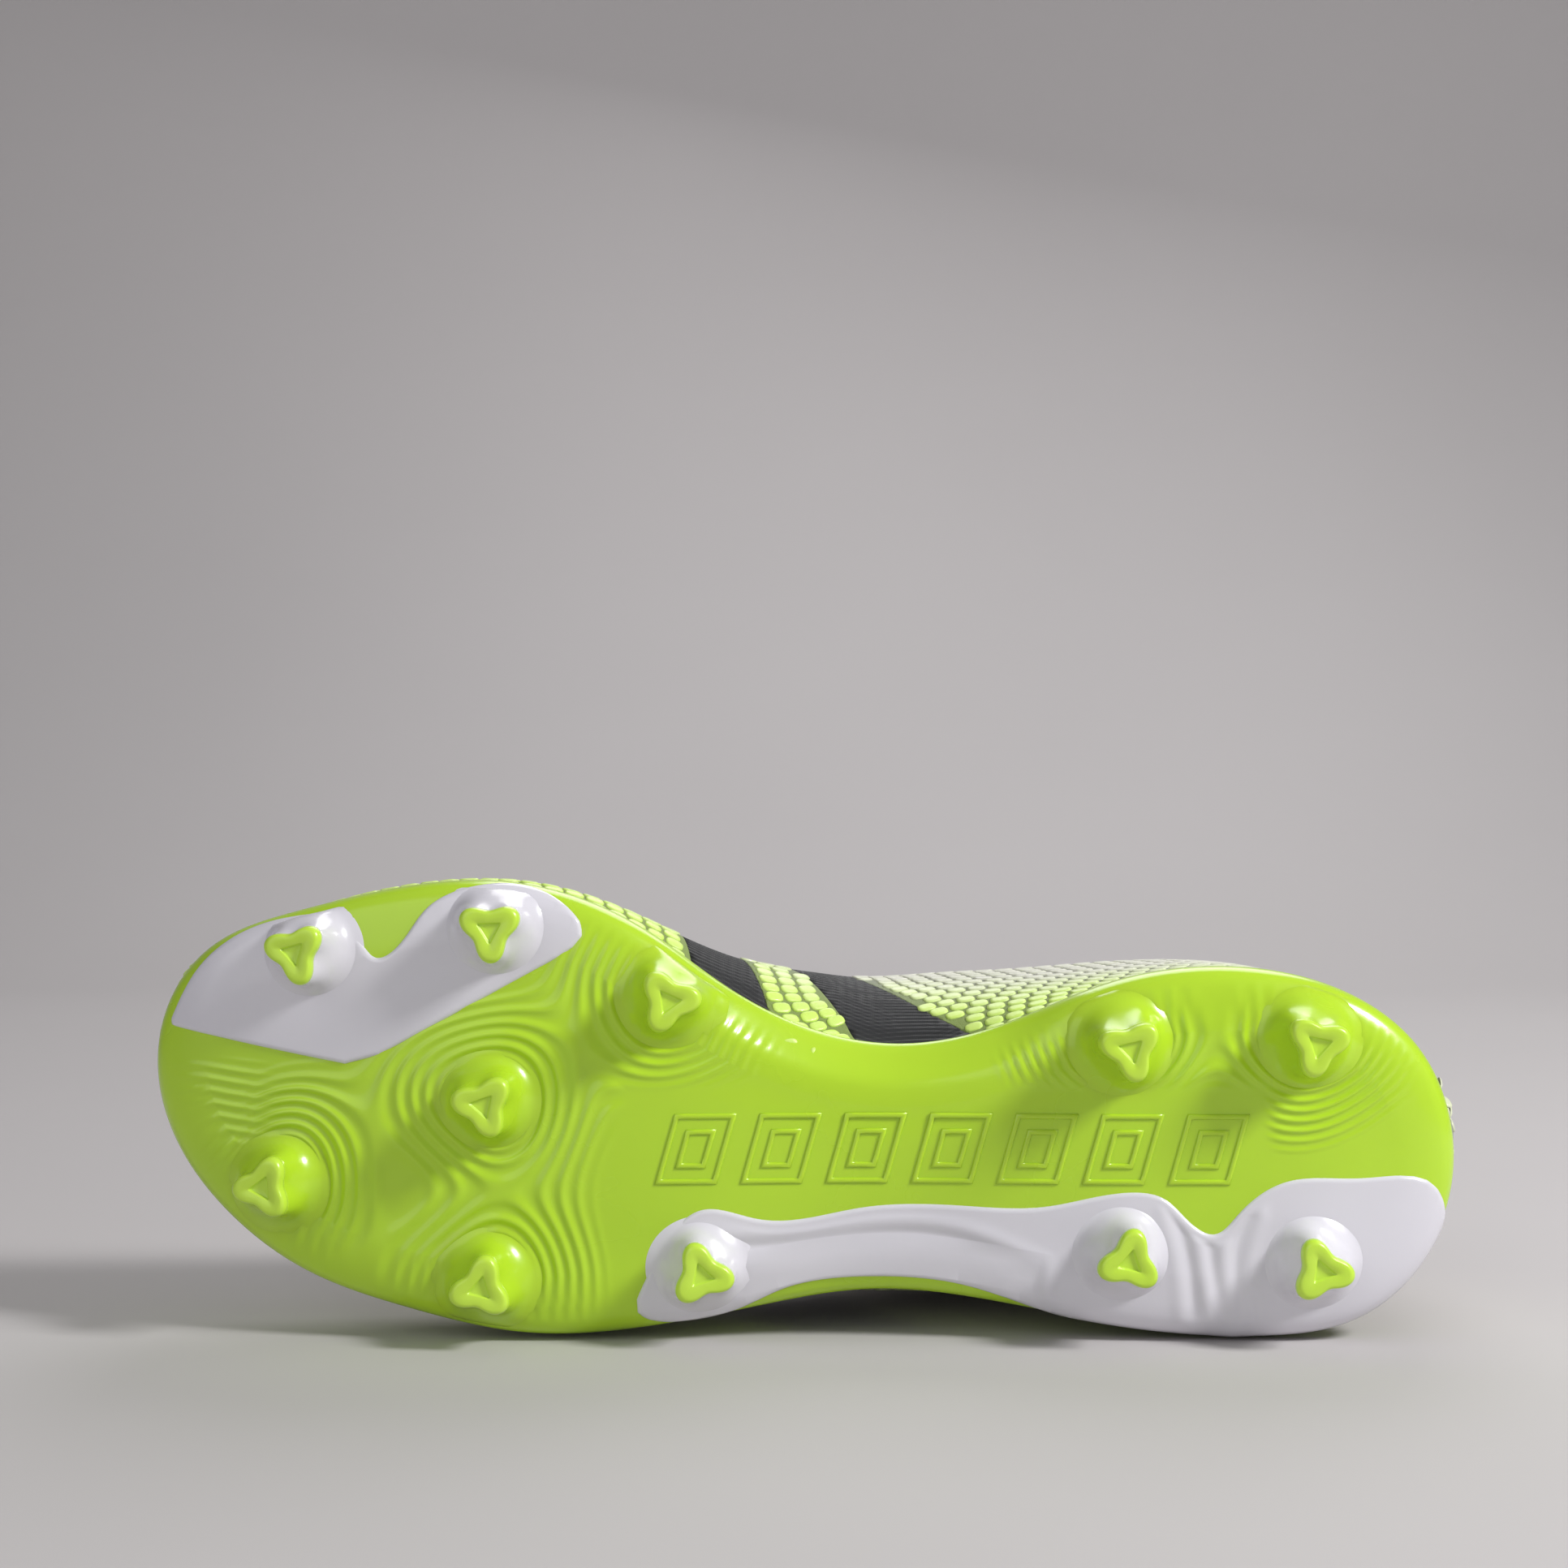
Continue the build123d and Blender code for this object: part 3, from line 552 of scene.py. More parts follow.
def ripples(x, z, inset):
    """Height of the ripples that stand out of the sole round its studs and along its toe."""
    field = ripple_field(x, z)
    pitch = np.where(x > 40, 2.15, 2.5)
    crest = wave_crest(2 * pi * (field - RIPPLE_START) / pitch, 1.3)
    near = smooth(field, *RIPPLES_BEGIN) * (1 - smooth(field, *RIPPLES_END))
    from_frames = np.maximum(
        np.maximum(EMBOSS_X[0] - 6 - x, x - EMBOSS_X[1] - 3),
        np.maximum(EMBOSS_Z[0] - 5 - z, z - EMBOSS_Z[1] - 5),
    )
    clear = smooth(from_frames, 0, 5)
    toe_lines = wave_crest(2 * pi * (z + 0.06 * x) / 2.6 + np.sin(x / 5), 1.6)
    toe_length = (1 - smooth(x, -124, -112)) * smooth(x, -137, -131)
    toe_share = toe_length * smooth(z, 38, 44) * (1 - smooth(z, 56, 60))
    strength = RIPPLE_H * near * clear * (1 - toe_share) * crest + TOE_LINE_H * toe_share * toe_lines
    return strength * smooth(inset, 3.5, 8.0)


def sole_table():
    """The sole's surface: x, y, z, distance in from the edge, height above the underside."""
    ring, inward = outline_ring()
    flare = smooth(ring[:, 0], -30, -8) * (1 - smooth(ring[:, 0], 40, 62)) * (inward[:, 1] < 0)
    rows = []
    for (inset_a, height_a), (inset_b, height_b) in zip(EDGE_ROUND, EDGE_FLARED):
        inset = inset_a + (inset_b - inset_a) * flare
        height = height_a + (height_b - height_a) * flare
        at = ring + inward * inset[:, None]
        rows.append(np.stack([at[:, 0], underside(at[:, 0]) + height, at[:, 1], inset, height], 1))
    last = rows[-1]
    samples = np.linspace(SPINE_FROM, SPINE_TO, 200)
    middle = []
    for x in samples:
        near = ring[np.argsort(np.abs(ring[:, 0] - x))[:8], 1]
        middle.append((near.min() + near.max()) / 2)
    spine_x = np.clip(last[:, 0], SPINE_FROM, SPINE_TO)
    way_x, way_z = spine_x - last[:, 0], np.interp(spine_x, samples, middle) - last[:, 2]
    for t in np.arange(1, ROWS + 1) / ROWS:
        x, z = last[:, 0] + way_x * t, last[:, 2] + way_z * t
        inset = last[:, 3] + np.hypot(way_x, way_z) * t
        height = last[:, 4] * (1 - smooth(t, 0, 0.6))
        rows.append(np.stack([x, underside(x) + height, z, inset, height], 1))
    return np.array(rows)


def add_object(name, data):
    """A new object in the scene."""
    obj = bpy.data.objects.new(name, data)
    bpy.context.scene.collection.objects.link(obj)
    return obj


class Pile:
    """Vertices and faces of several surfaces, gathered into one piece."""

    def __init__(self):
        self.verts, self.faces, self.slots, self.lime, self.count = [], [], [], [], 0

    def add(self, verts, faces, slot=0, lime=0.0):
        """Adds a surface in one material slot. lime is stored on its points."""
        verts = np.asarray(verts, float).reshape(-1, 3)
        self.verts.append(verts)
        self.faces += [[int(i) + self.count for i in f] for f in faces]
        self.slots += [slot] * len(faces)
        self.lime.append(np.full(len(verts), lime) if np.isscalar(lime) else np.asarray(lime))
        self.count += len(verts)

    def build(self, name, materials):
        """The piece as a smooth-shaded mesh object, moved from the boot's millimetres to the row frame."""
        mesh = bpy.data.meshes.new(name)
        verts = (np.vstack(self.verts) + SHIFT) * MM
        mesh.from_pydata(verts.tolist(), [], self.faces)
        for material_ in materials:
            mesh.materials.append(material_)
        mesh.polygons.foreach_set("material_index", np.array(self.slots, np.int32))
        mesh.polygons.foreach_set("use_smooth", np.ones(len(self.faces), bool))
        layer = mesh.attributes.new("lime", "FLOAT", "POINT")
        layer.data.foreach_set("value", np.concatenate(self.lime).astype(np.float32))
        mesh.validate()
        mesh.update()
        return add_object(name, mesh)


def finish_piece(obj, slot_name, body, *nodes):
    """Says which CAD nodes a piece replaces and the body it moves with; slot_name is not used."""
    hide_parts(*nodes)
    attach(obj, body)


class Stud:
    """Where a stud stands: its foot, its outward direction, its height, and rings round its axis."""

    def __init__(self, name):
        x, z, lobe, _ = STUDS[name]
        tilt = atan2((underside(x + 1) - underside(x - 1)) / 2, 1) if x < 0 else 0.0
        self.foot = np.array([x, float(underside(x)), z])
        self.along = np.array([cos(tilt), sin(tilt), 0])
        self.out = np.array([sin(tilt), -cos(tilt), 0])
        self.height = STUD_H if x < 0 else HEEL_STUD_H + float(underside(x))
        self.turn = STUD_ANGLES + radians(lobe)

    def ring(self, radius, height):
        """Points round the stud's axis. radius has a value for each of STUD_ANGLES."""
        offset = np.outer(radius * np.cos(self.turn), self.along)
        offset += np.outer(radius * np.sin(self.turn), np.array([0, 0, 1.0]))
        return self.foot + offset + self.out * height

    def rings(self, profile):
        """Rings from rows of height in mm, radius of the round part, lobed share, lobed scale."""
        lobed = LOBE_WAIST + LOBE_REACH * ((1 + np.cos(3 * STUD_ANGLES)) / 2) ** LOBE_SHARP
        return [self.ring(r * (1 - share) + lobed * scale * share, h) for h, r, share, scale in profile]


STUD_RING = 84
STUD_ANGLES = np.linspace(0, 2 * pi, STUD_RING, endpoint=False)
LOBE_WAIST, LOBE_REACH, LOBE_SHARP = 4.2, 2.9, 1.1
STUD_TOP_R = 7.0
BODY_SHARE = 0.78                # the profile's height up to the tip
SKIRT_INSET = 1.4                # a stud's foot stays this far inside the sole's edge
STUD_PROFILE = [
    # height as a share, radius of the round part, share of the lobed outline
    (-0.09, 13.2, 0.0), (-0.035, 12.3, 0.0), (0.0, 11.5, 0.0), (0.03, 10.7, 0.02), (0.07, 9.9, 0.05),
    (0.13, 9.2, 0.1), (0.2, 8.6, 0.2), (0.3, 8.05, 0.34), (0.42, 7.65, 0.5), (0.55, 7.3, 0.7),
    (0.66, 7.1, 0.86), (0.74, 7.0, 0.97), (0.78, 7.0, 1.0),
]


def fit_skirt(ring, centre, low):
    """Keeps a low ring of a stud inside the sole's edge and lets it follow the edge's rounding."""
    for _ in range(2):
        past = np.maximum(SKIRT_INSET - signed_distance(ring[:, [0, 2]], OUTLINE_LOOP), 0) * low
        toward = (centre - ring)[:, [0, 2]]
        toward /= np.maximum(np.linalg.norm(toward, axis=1, keepdims=True), 1e-6)
        ring[:, [0, 2]] += toward * past[:, None]
    insets, heights = zip(*EDGE_ROUND[4:])
    ring[:, 1] += np.interp(signed_distance(ring[:, [0, 2]], OUTLINE_LOOP), insets, heights) * low


def add_stud(pile, name):
    """The stud's body, up to its tip."""
    stud = Stud(name)
    body_h = stud.height - TIP_H
    profile = [(h * body_h / BODY_SHARE, r, s, 1.0 + 0.1 * (1 - s)) for h, r, s in STUD_PROFILE]
    profile += [(body_h + 0.05, STUD_TOP_R, 1.0, scale) for scale in (0.93, 0.5)]
    rings = stud.rings(profile)
    for ring, row in zip(rings, profile):
        fit_skirt(ring, stud.foot, 1 - float(smooth(row[0], 0.0, 0.45 * body_h)))
    pile.add(np.vstack(rings), grid_quads(len(profile), STUD_RING, wrap=True)[:, ::-1])


def make_tip(name, mats):
    """A stud's tip: three lobes, a rounded rim and a sunk triangle."""
    stud = Stud(name)
    top = stud.height
    base = top - TIP_H
    rim = (
        (base - 0.1, 0.8), (base + 0.1, 0.985), (base + 0.35, 1.0), (base + 1.3, 0.985), (top - 0.75, 0.96),
        (top - 0.3, 0.92), (top - 0.06, 0.85), (top, 0.78), (top, 0.7),
    )
    rings = stud.rings([(height, STUD_TOP_R, 1, scale) for height, scale in rim])
    turned = np.mod(STUD_ANGLES + pi / 3, 2 * pi / 3) - pi / 3
    to_side = np.cos(turned - pi / 3 * np.sign(turned + 1e-9))
    for size, depth in ((3.35, 0.0), (3.1, 0.1), (2.75, 0.6), (2.3, 0.68), (0.02, 0.68)):
        rings.append(stud.ring(np.minimum(size * 0.5 / to_side, size * 0.93), top - depth))
    pile = Pile()
    pile.add(np.vstack(rings), grid_quads(len(rings), STUD_RING, wrap=True)[:, ::-1])
    finish_piece(pile.build("tip_" + name, [mats["tip_tpu"]]), "tip_tpu", "shoe", "stud_tip_" + name)


RIDGE_W, RIDGE_H, RIDGE_ROWS = 1.2, 0.55, 9
RIDGE_SUNK = 0.06                # how far a ridge's foot lies under the surface


def add_ridge(pile, loop):
    """A raised rounded line on the sole along a closed loop of (x, z) corners."""
    loop = np.asarray(loop, float)
    dense = []
    for a, b in zip(loop, np.roll(loop, -1, axis=0)):
        steps = max(2, int(np.linalg.norm(b - a) / 1.5))
        dense += [a + (b - a) * k / steps for k in range(steps)]
    line = np.array(dense)
    ahead, back = np.roll(line, -1, axis=0) - line, line - np.roll(line, 1, axis=0)
    ahead /= np.linalg.norm(ahead, axis=1, keepdims=True)
    back /= np.linalg.norm(back, axis=1, keepdims=True)
    across = np.stack([-(ahead + back)[:, 1], (ahead + back)[:, 0]], 1)
    across /= np.linalg.norm(across, axis=1, keepdims=True)
    mitre = 1 / np.maximum((across * np.stack([-ahead[:, 1], ahead[:, 0]], 1)).sum(1), 0.4)
    rows = []
    for turn in np.linspace(0, pi, RIDGE_ROWS):
        at = line + across * (cos(turn) * RIDGE_W / 2 * mitre)[:, None]
        rise = sin(turn) ** 0.8 * RIDGE_H - RIDGE_SUNK
        rows.append(np.stack([at[:, 0], underside(at[:, 0]) - rise, at[:, 1]], 1))
    pile.add(np.array(rows), grid_quads(RIDGE_ROWS, len(line), wrap=True))


FRAMES, FRAME_SLANT, FRAME_GAP, FRAME_INSET = 7, 4.0, 2.2, 3.4


def emboss_shapes():
    """A row of slanted frames, one inside another: a plain pattern in the waist."""
    pitch = (EMBOSS_X[1] - EMBOSS_X[0] + FRAME_GAP) / FRAMES
    low, high = EMBOSS_Z
    for k in range(FRAMES):
        left = EMBOSS_X[0] + k * pitch
        right = left + pitch - FRAME_GAP
        for inset in (0.0, FRAME_INSET):
            lean = FRAME_SLANT * inset / (high - low)
            yield [
                (left + inset + lean, low + inset), (right - inset - FRAME_SLANT + lean, low + inset),
                (right - inset - lean, high - inset), (left + inset + FRAME_SLANT - lean, high - inset),
            ]


BACK_EDGE = 3.5                  # how far the side wall's inner edge turns back down


def make_outsole(rows, mats):
    """The lime plate with its ripples, its own studs and the frames in its waist."""
    points = rows[:, :, :3].copy()
    points[:, :, 1] -= ripples(rows[:, :, 0], rows[:, :, 2], rows[:, :, 3])
    points = np.concatenate([points[:1] - [0, BACK_EDGE, 0], points])
    pile = Pile()
    pile.add(points, grid_quads(len(points), RING, wrap=True))
    for name in RIPPLE_STUDS:
        add_stud(pile, name)
    for loop in emboss_shapes():
        add_ridge(pile, loop)
    finish_piece(pile.build("outsole", [mats["lime_tpu"]]), "lime_tpu", "shoe", "outsole_plate")


def insert_loop(name):
    """An insert's outline: the forefoot's has straight sides between corners, the other is smooth."""
    if name == "lateral_insert":
        return curve(LATERAL_INSERT, 420, closed=True)
    runs = [curve(run, 220) if len(run) > 3 else np.asarray(run, float) for run in FOREFOOT_INSERT]
    return np.vstack([run[:-1] for run in runs])


INSERT_SUNK = 0.35               # how far an insert's edge lies under the plate's surface
INSERT_LEVELS = (0.1, 0.3, 0.6, 1.1)    # distances from the edge between which it rounds over
CREASE_W, CREASE_BANK = 1.5, 3.2
# Each crease as a line of (x, z) and its depth.
LATERAL_CREASES = [
    ([(-24, 20), (-8, 19.5), (12, 21.5), (34, 20.5), (50, 14.0)], 0.55),
    ([(-14, 12.5), (4, 16.5), (22, 17.6), (38, 14.8), (50, 9.5)], 0.45),
    ([(80.0, 27.0), (82.5, 18.0), (84.0, 6.0)], 0.45), ([(87.0, 20.0), (88.5, 12.0), (91.0, 4.0)], 0.4),
    ([(95.0, 26.0), (92.5, 15.0), (94.0, 4.0)], 0.4),
]


def insert_offset(phi, table, name):
    """How far an insert's surface stands out of the plate: a rounded edge, then level, with creases."""
    edge = np.sqrt(1 - (1 - np.clip(phi / INSERT_LEVELS[-1], 0, 1)) ** 2)
    rise = -INSERT_SUNK + (INSERT_PROUD + INSERT_SUNK) * edge
    inner = smooth(phi, 1.2, 3.0)
    for line, depth in LATERAL_CREASES if name == "lateral_insert" else ():
        d = line_distance(table[:, [0, 2]], curve(line, 40))
        rise -= depth * np.exp(-((d / CREASE_W) ** 2)) * inner
        rise += 0.5 * depth * np.exp(-(((d - CREASE_BANK) / 1.6) ** 2)) * inner
    return rise


def make_insert(name, rows, mats):
    """A white moulding let into the plate, with the studs that grow from it."""
    flat = rows.reshape(-1, rows.shape[2])
    normals = grid_normals(rows[:, :, :3], wrap=True).reshape(-1, 3)
    normals = np.where(normals[:, 1:2] > 0.3, -normals, normals)
    loop = insert_loop(name)
    around = (flat[:, [0, 2]] > loop.min(0) - 4) & (flat[:, [0, 2]] < loop.max(0) + 4)
    tris = triangles(grid_quads(len(rows), RING, wrap=True))
    tris = tris[around.all(1)[tris].all(1)]
    used, back = np.unique(tris, return_inverse=True)
    table, tris = np.hstack([flat, normals])[used], back.reshape(-1, 3)
    phi = np.minimum(signed_distance(table[:, [0, 2]], loop), INSERT_WALL_H - table[:, 4])
    table, tris = split(np.hstack([table, phi[:, None]]), tris, phi)
    for level in INSERT_LEVELS:
        table, tris = split(table, tris, table[:, -1] - level, keep_both=True)
    normal = table[:, 5:8] / np.maximum(np.linalg.norm(table[:, 5:8], axis=1, keepdims=True), 1e-9)
    pile = Pile()
    pile.add(table[:, :3] + normal * insert_offset(table[:, -1], table, name)[:, None], tris)
    for stud_name, spec in STUDS.items():
        if spec[3] == name:
            add_stud(pile, stud_name)
    obj = pile.build("insert_" + name.split("_")[0], [mats["white_tpu"]])
    finish_piece(obj, "white_tpu", "shoe", name)


def make_sole(mats):
    """The outsole, its inserts and the stud tips."""
    rows = sole_table()
    make_outsole(rows, mats)
    make_insert("forefoot_insert", rows, mats)
    make_insert("lateral_insert", rows, mats)
    for name in STUDS:
        make_tip(name, mats)


# --- the upper's surface ------------------------------------------------------------------------
AROUND = 10                      # anchor points of one cross-section
TOP_ANCHOR = 5.0                 # the one on the ridge of the instep
DOME = 0.7                       # how far the closed ends bulge


def shrunk(low, high, depth):
    """A span drawn in by about depth at both ends, which never turns inside out."""
    centre, half = (low + high) / 2, (high - low) / 2
    half = half * half / (half + depth)
    return centre - half, centre + half


def anchors(row, depth):
    """Ten points of one closed cross-section of the upper, depth inside its outer surface."""
    x, base_y, base_l, base_m, bulge_y, bulge_l, bulge_m, should_y, should_l, should_m, top_y, top_z = row
    low, high = shrunk(base_y, top_y, depth)
    base, bulge = shrunk(base_l, base_m, depth), shrunk(bulge_l, bulge_m, depth)
    shoulder = shrunk(should_l, should_m, depth)
    corner = min(5.0, 0.25 * (base[1] - base[0]))
    sides = [
        (base_y, sum(base) / 2), (base_y, base[0] + corner), (base_y + 5, base[0]), (bulge_y, bulge[0]),
        (should_y, shoulder[0]), (top_y, top_z), (should_y, shoulder[1]), (bulge_y, bulge[1]),
        (base_y + 5, base[1]), (base_y, base[1] - corner),
    ]
    rise = (high - low) / (top_y - base_y)
    ground = float(underside(x)) + low - base_y * rise
    return [(x * (1 - depth / HALF_LENGTH), ground + y * rise, z) for y, z in sides]


def upper_grid(v, depth, step):
    """Points of the surface that lies depth inside the upper.

    v says where round each cross-section, in anchors; step is the distance between rows.
    """
    rows = []
    for row in STATIONS:
        points = np.array(anchors(row, depth(row[0])))
        points = np.vstack([points, points[:1]])
        rows.append(spline(np.arange(AROUND + 1.0), points, v, closed=True))
    count = len(STATIONS)
    knots = np.arange(float(count))
    fine = np.linspace(0, count - 1, 40 * count)
    run = lengths(spline(knots, [(row[0], row[9]) for row in STATIONS], fine))
    at = np.interp(np.linspace(0, run[-1], int(run[-1] / step)), run, fine)
    flat = spline(knots, np.array(rows).reshape(count, -1), at).reshape(len(at), len(v), 3)
    return np.concatenate([end_cap(flat[0], -1.0), flat, end_cap(flat[-1], 1.0)[::-1]])


def end_cap(ring, way):
    """Rings that close one end of the surface with a shallow dome, from its tip outward."""
    centre = ring.mean(0)
    shares = (0.002, 0.3, 0.55, 0.75, 0.9)
    return np.array([centre + (ring - centre) * s + [way * DOME * (1 - s**2), 0, 0] for s in shares])


TUCK_INSET = 0.7                 # how far inside the sole's edge the upper meets the plate's wall
TUCK_TO, TUCK_END = 9.5, 16.0    # wholly drawn in below the first height, not at all above the second


def tuck(points, inset):
    """Draws the lowest part of a surface in, so that it meets the plate's side wall from inside."""
    height = points[:, :, 1] - underside(points[:, :, 0])
    low = height < TUCK_END
    flat = points[low][:, [0, 2]]
    here = signed_distance(flat, OUTLINE_LOOP)
    slope = [signed_distance(flat + step, OUTLINE_LOOP) - here for step in ([0.5, 0.0], [0.0, 0.5])]
    slope = np.stack(slope, 1) / 0.5
    slope /= np.maximum(np.linalg.norm(slope, axis=1, keepdims=True), 0.3)
    move = np.maximum(inset - here, 0) * (1 - smooth(height[low], TUCK_TO, TUCK_END))
    changed = points[low]
    changed[:, [0, 2]] += slope * move[:, None]
    points[low] = changed


class Upper:
    """The upper's outer and inner surface on one grid, tucked in where they meet the plate."""

    def __init__(self, v, step, outer_depth, inner_depth, tucks=(TUCK_INSET, TUCK_INSET + 1.2)):
        self.v, self.step = v, step
        self.outer = upper_grid(v, outer_depth, step)
        inner = upper_grid(v, inner_depth, step)
        tuck(self.outer, tucks[0])
        tuck(inner, tucks[1])
        self.table = np.concatenate([self.outer, inner], axis=2).reshape(-1, 6)
        self.tris = triangles(grid_quads(len(inner), len(v)))


def keep(table, tris, *fields):
    """Cuts a surface to where every field, a function of the table, is positive."""
    for field in fields:
        if not len(tris):
            break
        table, tris = split(table, tris, field(table))
    return table, tris


def side(points, medial_line, lateral_line):
    """Distance along x to a side-view line, positive behind it. The two sides' lines meet at the seam."""
    medial_x, lateral_x = (
        np.interp(points[:, 1], [p[1] for p in line], [p[0] for p in line])
        for line in (medial_line, lateral_line)
    )
    share = smooth(points[:, 2], SEAM_Z - 4, SEAM_Z + 4)
    return points[:, 0] - (lateral_x + (medial_x - lateral_x) * share)


def off_plate(t):
    """Positive where the upper is clear of the plate's side wall and not under the foot."""
    height = height_above_sole(t)
    inset = signed_distance(t[:, [0, 2]], OUTLINE_LOOP)
    outside_wall = np.maximum(height - (RAND_H - 1.5), inset - (RAND_T + 0.5))
    return np.minimum(outside_wall, np.maximum(height - MARGIN_H, MARGIN_W - inset))


def lining_floor(t):
    """Positive except under the foot, inside the lasting margin."""
    inset = signed_distance(t[:, [0, 2]], OUTLINE_LOOP)
    return np.maximum(height_above_sole(t) - MARGIN_H, MARGIN_W - inset)


def below(line, drop=0.0):
    """The field that is positive below a side-view line lowered by drop."""
    return lambda t: line_height(line, t[:, 0]) - drop - t[:, 1]


def negative(field):
    """The field that is positive where another is negative."""
    return lambda t: -field(t)


def behind_knit(t):
    """Positive behind the knit saddle."""
    return side(t, KNIT_REAR_MEDIAL, KNIT_REAR_LATERAL)


def ahead_of_knit(t):
    """Positive ahead of the knit saddle."""
    return -side(t, KNIT_FRONT_MEDIAL, KNIT_FRONT_LATERAL)


def in_knit(t):
    """Positive in the knit saddle and its inlay."""
    return np.minimum(-ahead_of_knit(t), -behind_knit(t))


WEDGE_LOOP = np.array([*curve(WEDGE[1:4], 30), *curve(WEDGE[3:6], 30)[1:], WEDGE[6], WEDGE[0]])


def in_wedge(t):
    """Positive in the knit's scaled inlay, on the medial side."""
    return np.minimum(signed_distance(t[:, :2], WEDGE_LOOP), (t[:, 2] - SEAM_Z) * 2)


def medial(t):
    """Positive on the medial side."""
    return t[:, 2] - SEAM_Z


def lateral(t):
    """Positive on the lateral side."""
    return SEAM_Z - t[:, 2]


def shell(pile, table, tris, lime=None):
    """Adds a closed shell: outer faces, inner faces, and a rim along every open edge."""
    count = len(table)
    edges = np.vstack([tris[:, [0, 1]], tris[:, [1, 2]], tris[:, [2, 0]]])
    keys = np.sort(edges, axis=1)
    _, first, times = np.unique(keys, axis=0, return_index=True, return_counts=True)
    rim = edges[first[times == 1]]
    faces = tris.tolist() + (tris[:, ::-1] + count).tolist()
    faces += np.stack([rim[:, 1], rim[:, 0], rim[:, 0] + count, rim[:, 1] + count], 1).tolist()
    lime = np.zeros(count) if lime is None else lime
    pile.add(np.vstack([table[:, :3], table[:, 3:6]]), faces, 0, np.concatenate([lime, lime]))


# --- scales -------------------------------------------------------------------------------------
SCALE_LENGTH = 4.7
SCALE_WIDTH = 3.3
SCALE_GAP = 0.5
SCALE_RISE = 0.42
SCALE_ROOM = 1.15                # how far a scale's middle keeps from its region's edge
PLATE_ROOM = 1.4                 # and from the plate
CORE_X = 118.0                   # past this, outward is told from the middle of the toe or of the heel
SCALE_APART = 2.55               # no two scales' middles are closer, where rows run together at the ends
# A scale's rings: share of its outline, height above the skin.
SCALE_LEVELS = ((1.0, -0.12), (0.98, 0.2), (0.86, 0.36), (0.6, SCALE_RISE))
SQUARENESS = 3.2                 # 2 would make a scale an ellipse
CORNER_POINTS = 16
LOOK = 0.8                       # how far on a row's directions are taken
LIME_FADE_H, TOE_FADE_X, HEEL_FADE_X = (14, 46), (-118, -70), (70, 120)


def scale_lime(x, y):
    """How lime the skin is at a point: by the sole and at the toe, fading upward and at the heel."""
    low = 1 - smooth(y - underside(x), *LIME_FADE_H)
    toe = 1 - smooth(x, *TOE_FADE_X)
    heel = smooth(x, *HEEL_FADE_X)
    return np.clip(0.95 * low * (1 - 0.85 * heel) + 0.35 * toe, 0, 1)


def scale_outline():
    """A scale's rounded rectangle, as offsets along and across."""
    angle = np.linspace(0, 2 * pi, CORNER_POINTS, endpoint=False) + pi / CORNER_POINTS
    bulge = (np.abs(np.cos(angle)) ** SQUARENESS + np.abs(np.sin(angle)) ** SQUARENESS) ** (-1 / SQUARENESS)
    half_length, half_width = (SCALE_LENGTH - SCALE_GAP) / 2, (SCALE_WIDTH - SCALE_GAP) / 2
    return np.cos(angle) * bulge * half_length, np.sin(angle) * bulge * half_width


def scale_spots(grid):
    """Centres and directions of scales, in rows at even distances from the instep's ridge."""
    ridge = int(np.argmin(np.abs(grid.v - TOP_ANCHOR)))
    for columns in (np.arange(ridge, -1, -1), np.arange(ridge, len(grid.v))):
        half = grid.outer[:, columns]
        steps = np.linalg.norm(np.diff(half, axis=1), axis=2)
        run = np.concatenate([np.zeros((len(half), 1)), np.cumsum(steps, axis=1)], 1)
        for k in range(int(run.max() / SCALE_WIDTH)):
            reach = (k + 0.5) * SCALE_WIDTH
            rows = [i for i in range(len(half)) if run[i, -1] > reach + 0.8 * SCALE_WIDTH]
            if len(rows) < 6:
                continue
            line = np.array([interpolate(reach, run[i], half[i]) for i in rows])
            across = np.array([interpolate(reach + LOOK, run[i], half[i]) for i in rows]) - line
            along = lengths(line)
            for at in np.arange((0.25 + 0.5 * (k % 2)) * SCALE_LENGTH, along[-1], SCALE_LENGTH):
                centre = interpolate(at, along, line)
                ahead = interpolate(at + LOOK, along, line) - centre
                back = interpolate(at, along, across)
                if np.linalg.norm(ahead) > 0.2:
                    yield centre, ahead / np.linalg.norm(ahead), back / np.linalg.norm(back)


